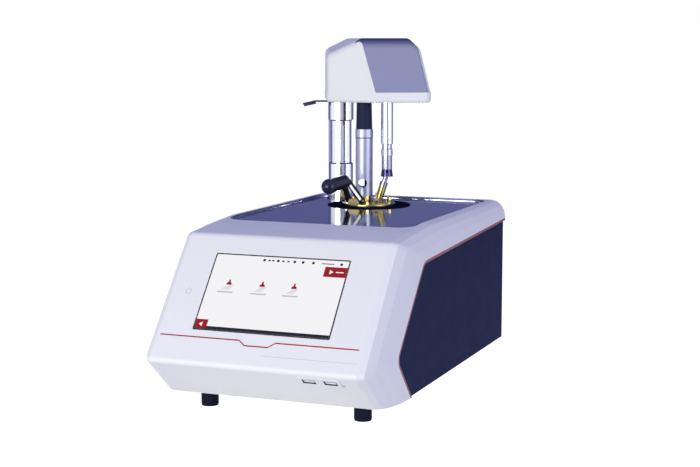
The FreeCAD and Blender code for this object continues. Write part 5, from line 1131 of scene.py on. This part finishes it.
@dataclass(frozen=True)
class Lamp:
    """Soft lamp: its place, what it points at, its width and height, and the watts of its three colours."""

    name: str
    place: Point
    aim: Point
    size: tuple[float, float]
    power: Colour
    mirrored: bool = True

    def hang(self) -> None:
        """Add the lamp, turned from straight down to its aim."""
        light = bpy.data.lights.new(self.name, "AREA")
        light.shape = "RECTANGLE"
        light.size, light.size_y = self.size
        light.energy = max(self.power)
        light.color = [channel / max(self.power) for channel in self.power]
        thing = bpy.data.objects.new(self.name, light)
        bpy.context.scene.collection.objects.link(thing)
        away = np.array(self.place) - np.array(self.aim)
        thing.location = self.place
        tilt = math.atan2(math.hypot(away[0], away[1]), away[2])
        thing.rotation_euler = (tilt, 0.0, math.atan2(away[0], -away[1]))
        thing.visible_glossy = self.mirrored


@dataclass
class Studio:
    """Floor, world, lamps and camera."""

    floor_radius: float = 1.5
    floor_columns: int = 96
    floor_colour: Colour = (0.80, 0.80, 0.81)
    glow_colour: Colour = (1.0, 1.0, 0.97)
    glow: float = 0.88
    camera_place: Point = (0.6315, -1.5391, 0.3894)
    camera_turn: Point = (82.629, 0.0, 21.797)
    lens: float = 75.48
    sensor: float = 36.0
    horizon: Colour = (0.215, 0.210, 0.280)
    zenith: Colour = (0.290, 0.310, 0.650)
    dark: Colour = (0.10, 0.11, 0.29)
    white: Colour = (1.0, 1.0, 1.0)
    gaps: tuple[tuple[float, float], ...] = (
        (0.00, 0.25), (0.02, 0.95), (0.275, 1.00), (0.312, 0.40), (0.372, 0.40), (0.405, 1.00), (0.59, 1.00),
        (0.630, 0.04), (0.770, 0.050), (0.850, 0.000), (0.985, 0.02), (1.00, 0.25))
    lamps: tuple[Lamp, ...] = (
        Lamp("key", (-0.50, -2.3, 0.40), (0.0, 0.0, 0.15), (1.5, 0.7), (38.5, 38.3, 32.0)),
        Lamp("side", (2.1, -0.5, 0.55), (0.0, 0.0, 0.15), (1.2, 0.8), (15.0, 15.3, 15.7)),
        Lamp("back", (-1.5, 1.8, 0.6), (0.0, 0.0, 0.2), (1.2, 0.8), (2.8, 3.8, 9.5), mirrored=False))

    def floor(self) -> None:
        """Pale floor that keeps the shadow and shows white to the camera."""
        ring = disc_outline(0.0, 0.0, self.floor_radius, self.floor_columns)
        points = np.append(ring, np.zeros((self.floor_columns, 1)), axis=1)
        ground = piece("floor", points, [list(range(self.floor_columns))], ROUNDED)
        made = bpy.data.materials.new("floor_pale")
        made.use_nodes = True
        graph = Graph(made.node_tree)
        matt = graph.add("ShaderNodeBsdfDiffuse", inputs={"Color": self.floor_colour})
        glow = graph.add("ShaderNodeEmission", inputs={"Color": self.glow_colour,
                                                       "Strength": self.glow * seen(graph)})
        both = graph.add("ShaderNodeAddShader", inputs={0: matt, 1: glow})
        graph.add("ShaderNodeOutputMaterial", inputs={"Surface": both})
        ground.data.materials.append(made)

    def world(self) -> None:
        """White to the camera, white screens with gaps between them in metal, and soft cool light."""
        world = bpy.data.worlds.new("studio")
        bpy.context.scene.world = world
        world.use_nodes = True
        graph = Graph(world.node_tree)
        way = graph.add("ShaderNodeTexCoord", output="Generated")
        sky = graph.blend(graph.part(way, "Z").at_least(0.0), self.horizon, self.zenith)
        soft, white, screens = (graph.add("ShaderNodeBackground", inputs={"Color": colour, "Strength": 1.0})
                                for colour in (sky, self.white, self.screens(graph, way)))
        mirrored = graph.add("ShaderNodeLightPath", output="Is Glossy Ray")
        bright = graph.add("ShaderNodeMixShader", inputs={0: mirrored, 1: white, 2: screens})
        mixed = graph.add("ShaderNodeMixShader", inputs={0: seen(graph), 1: soft, 2: bright})
        graph.add("ShaderNodeOutputWorld", inputs={"Surface": mixed})

    def screens(self, graph: Graph, way: Signal) -> Signal:
        """White screens round the object, with darker gaps at fixed bearings.

        Args:
            graph: The world's tree.
            way: The way that a ray leaves in.
        Returns:
            Colour by bearing: a ramp over (atan2(y, x) + pi) / 2 pi.
        """
        turn = graph.part(way, "Y").bearing(graph.part(way, "X")) * (0.5 / math.pi) + 0.5
        level = graph.add("ShaderNodeValToRGB", {"stops": self.gaps}, {0: turn})
        return graph.blend(level, self.dark, self.white)

    def camera(self) -> None:
        """Camera at the photograph's viewing angle."""
        data = bpy.data.cameras.new("view")
        data.lens = self.lens
        data.sensor_width = self.sensor
        thing = bpy.data.objects.new("view", data)
        bpy.context.scene.collection.objects.link(thing)
        thing.location = self.camera_place
        thing.rotation_euler = [math.radians(angle) for angle in self.camera_turn]
        bpy.context.scene.camera = thing

    def build(self) -> None:
        """Set up everything round the object."""
        bpy.context.scene.view_settings.view_transform = "Standard"
        self.floor()
        self.world()
        for lamp in self.lamps:
            lamp.hang()
        self.camera()


def seen(graph: Graph) -> Signal:
    """1 for what the camera sees straight, in a reflection or through glass."""
    rays = [graph.add("ShaderNodeLightPath", output=name)
            for name in ("Is Camera Ray", "Is Glossy Ray", "Is Transmission Ray")]
    return rays[0].at_least(rays[1]).at_least(rays[2])


def corners(box: Sequence[Sequence[float]]) -> list[list[float]]:
    """A box's two corners as plain lists."""
    return [[float(value) for value in corner] for corner in box]


def main() -> None:
    """Dress the model."""
    logging.basicConfig(level=logging.INFO)
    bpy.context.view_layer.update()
    for entry in Finishes:
        for name in entry.nodes:
            paint(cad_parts[name], entry.finish)
    for assembly in (Display(), Housing(), TrimLines(), Lever(), Sensor(), Seals(), Lid(), Handle(), Rear(),
                     Studio()):
        assembly.build()
        log.info("%s built", type(assembly).__name__)


if __name__ == "__main__":
    main()
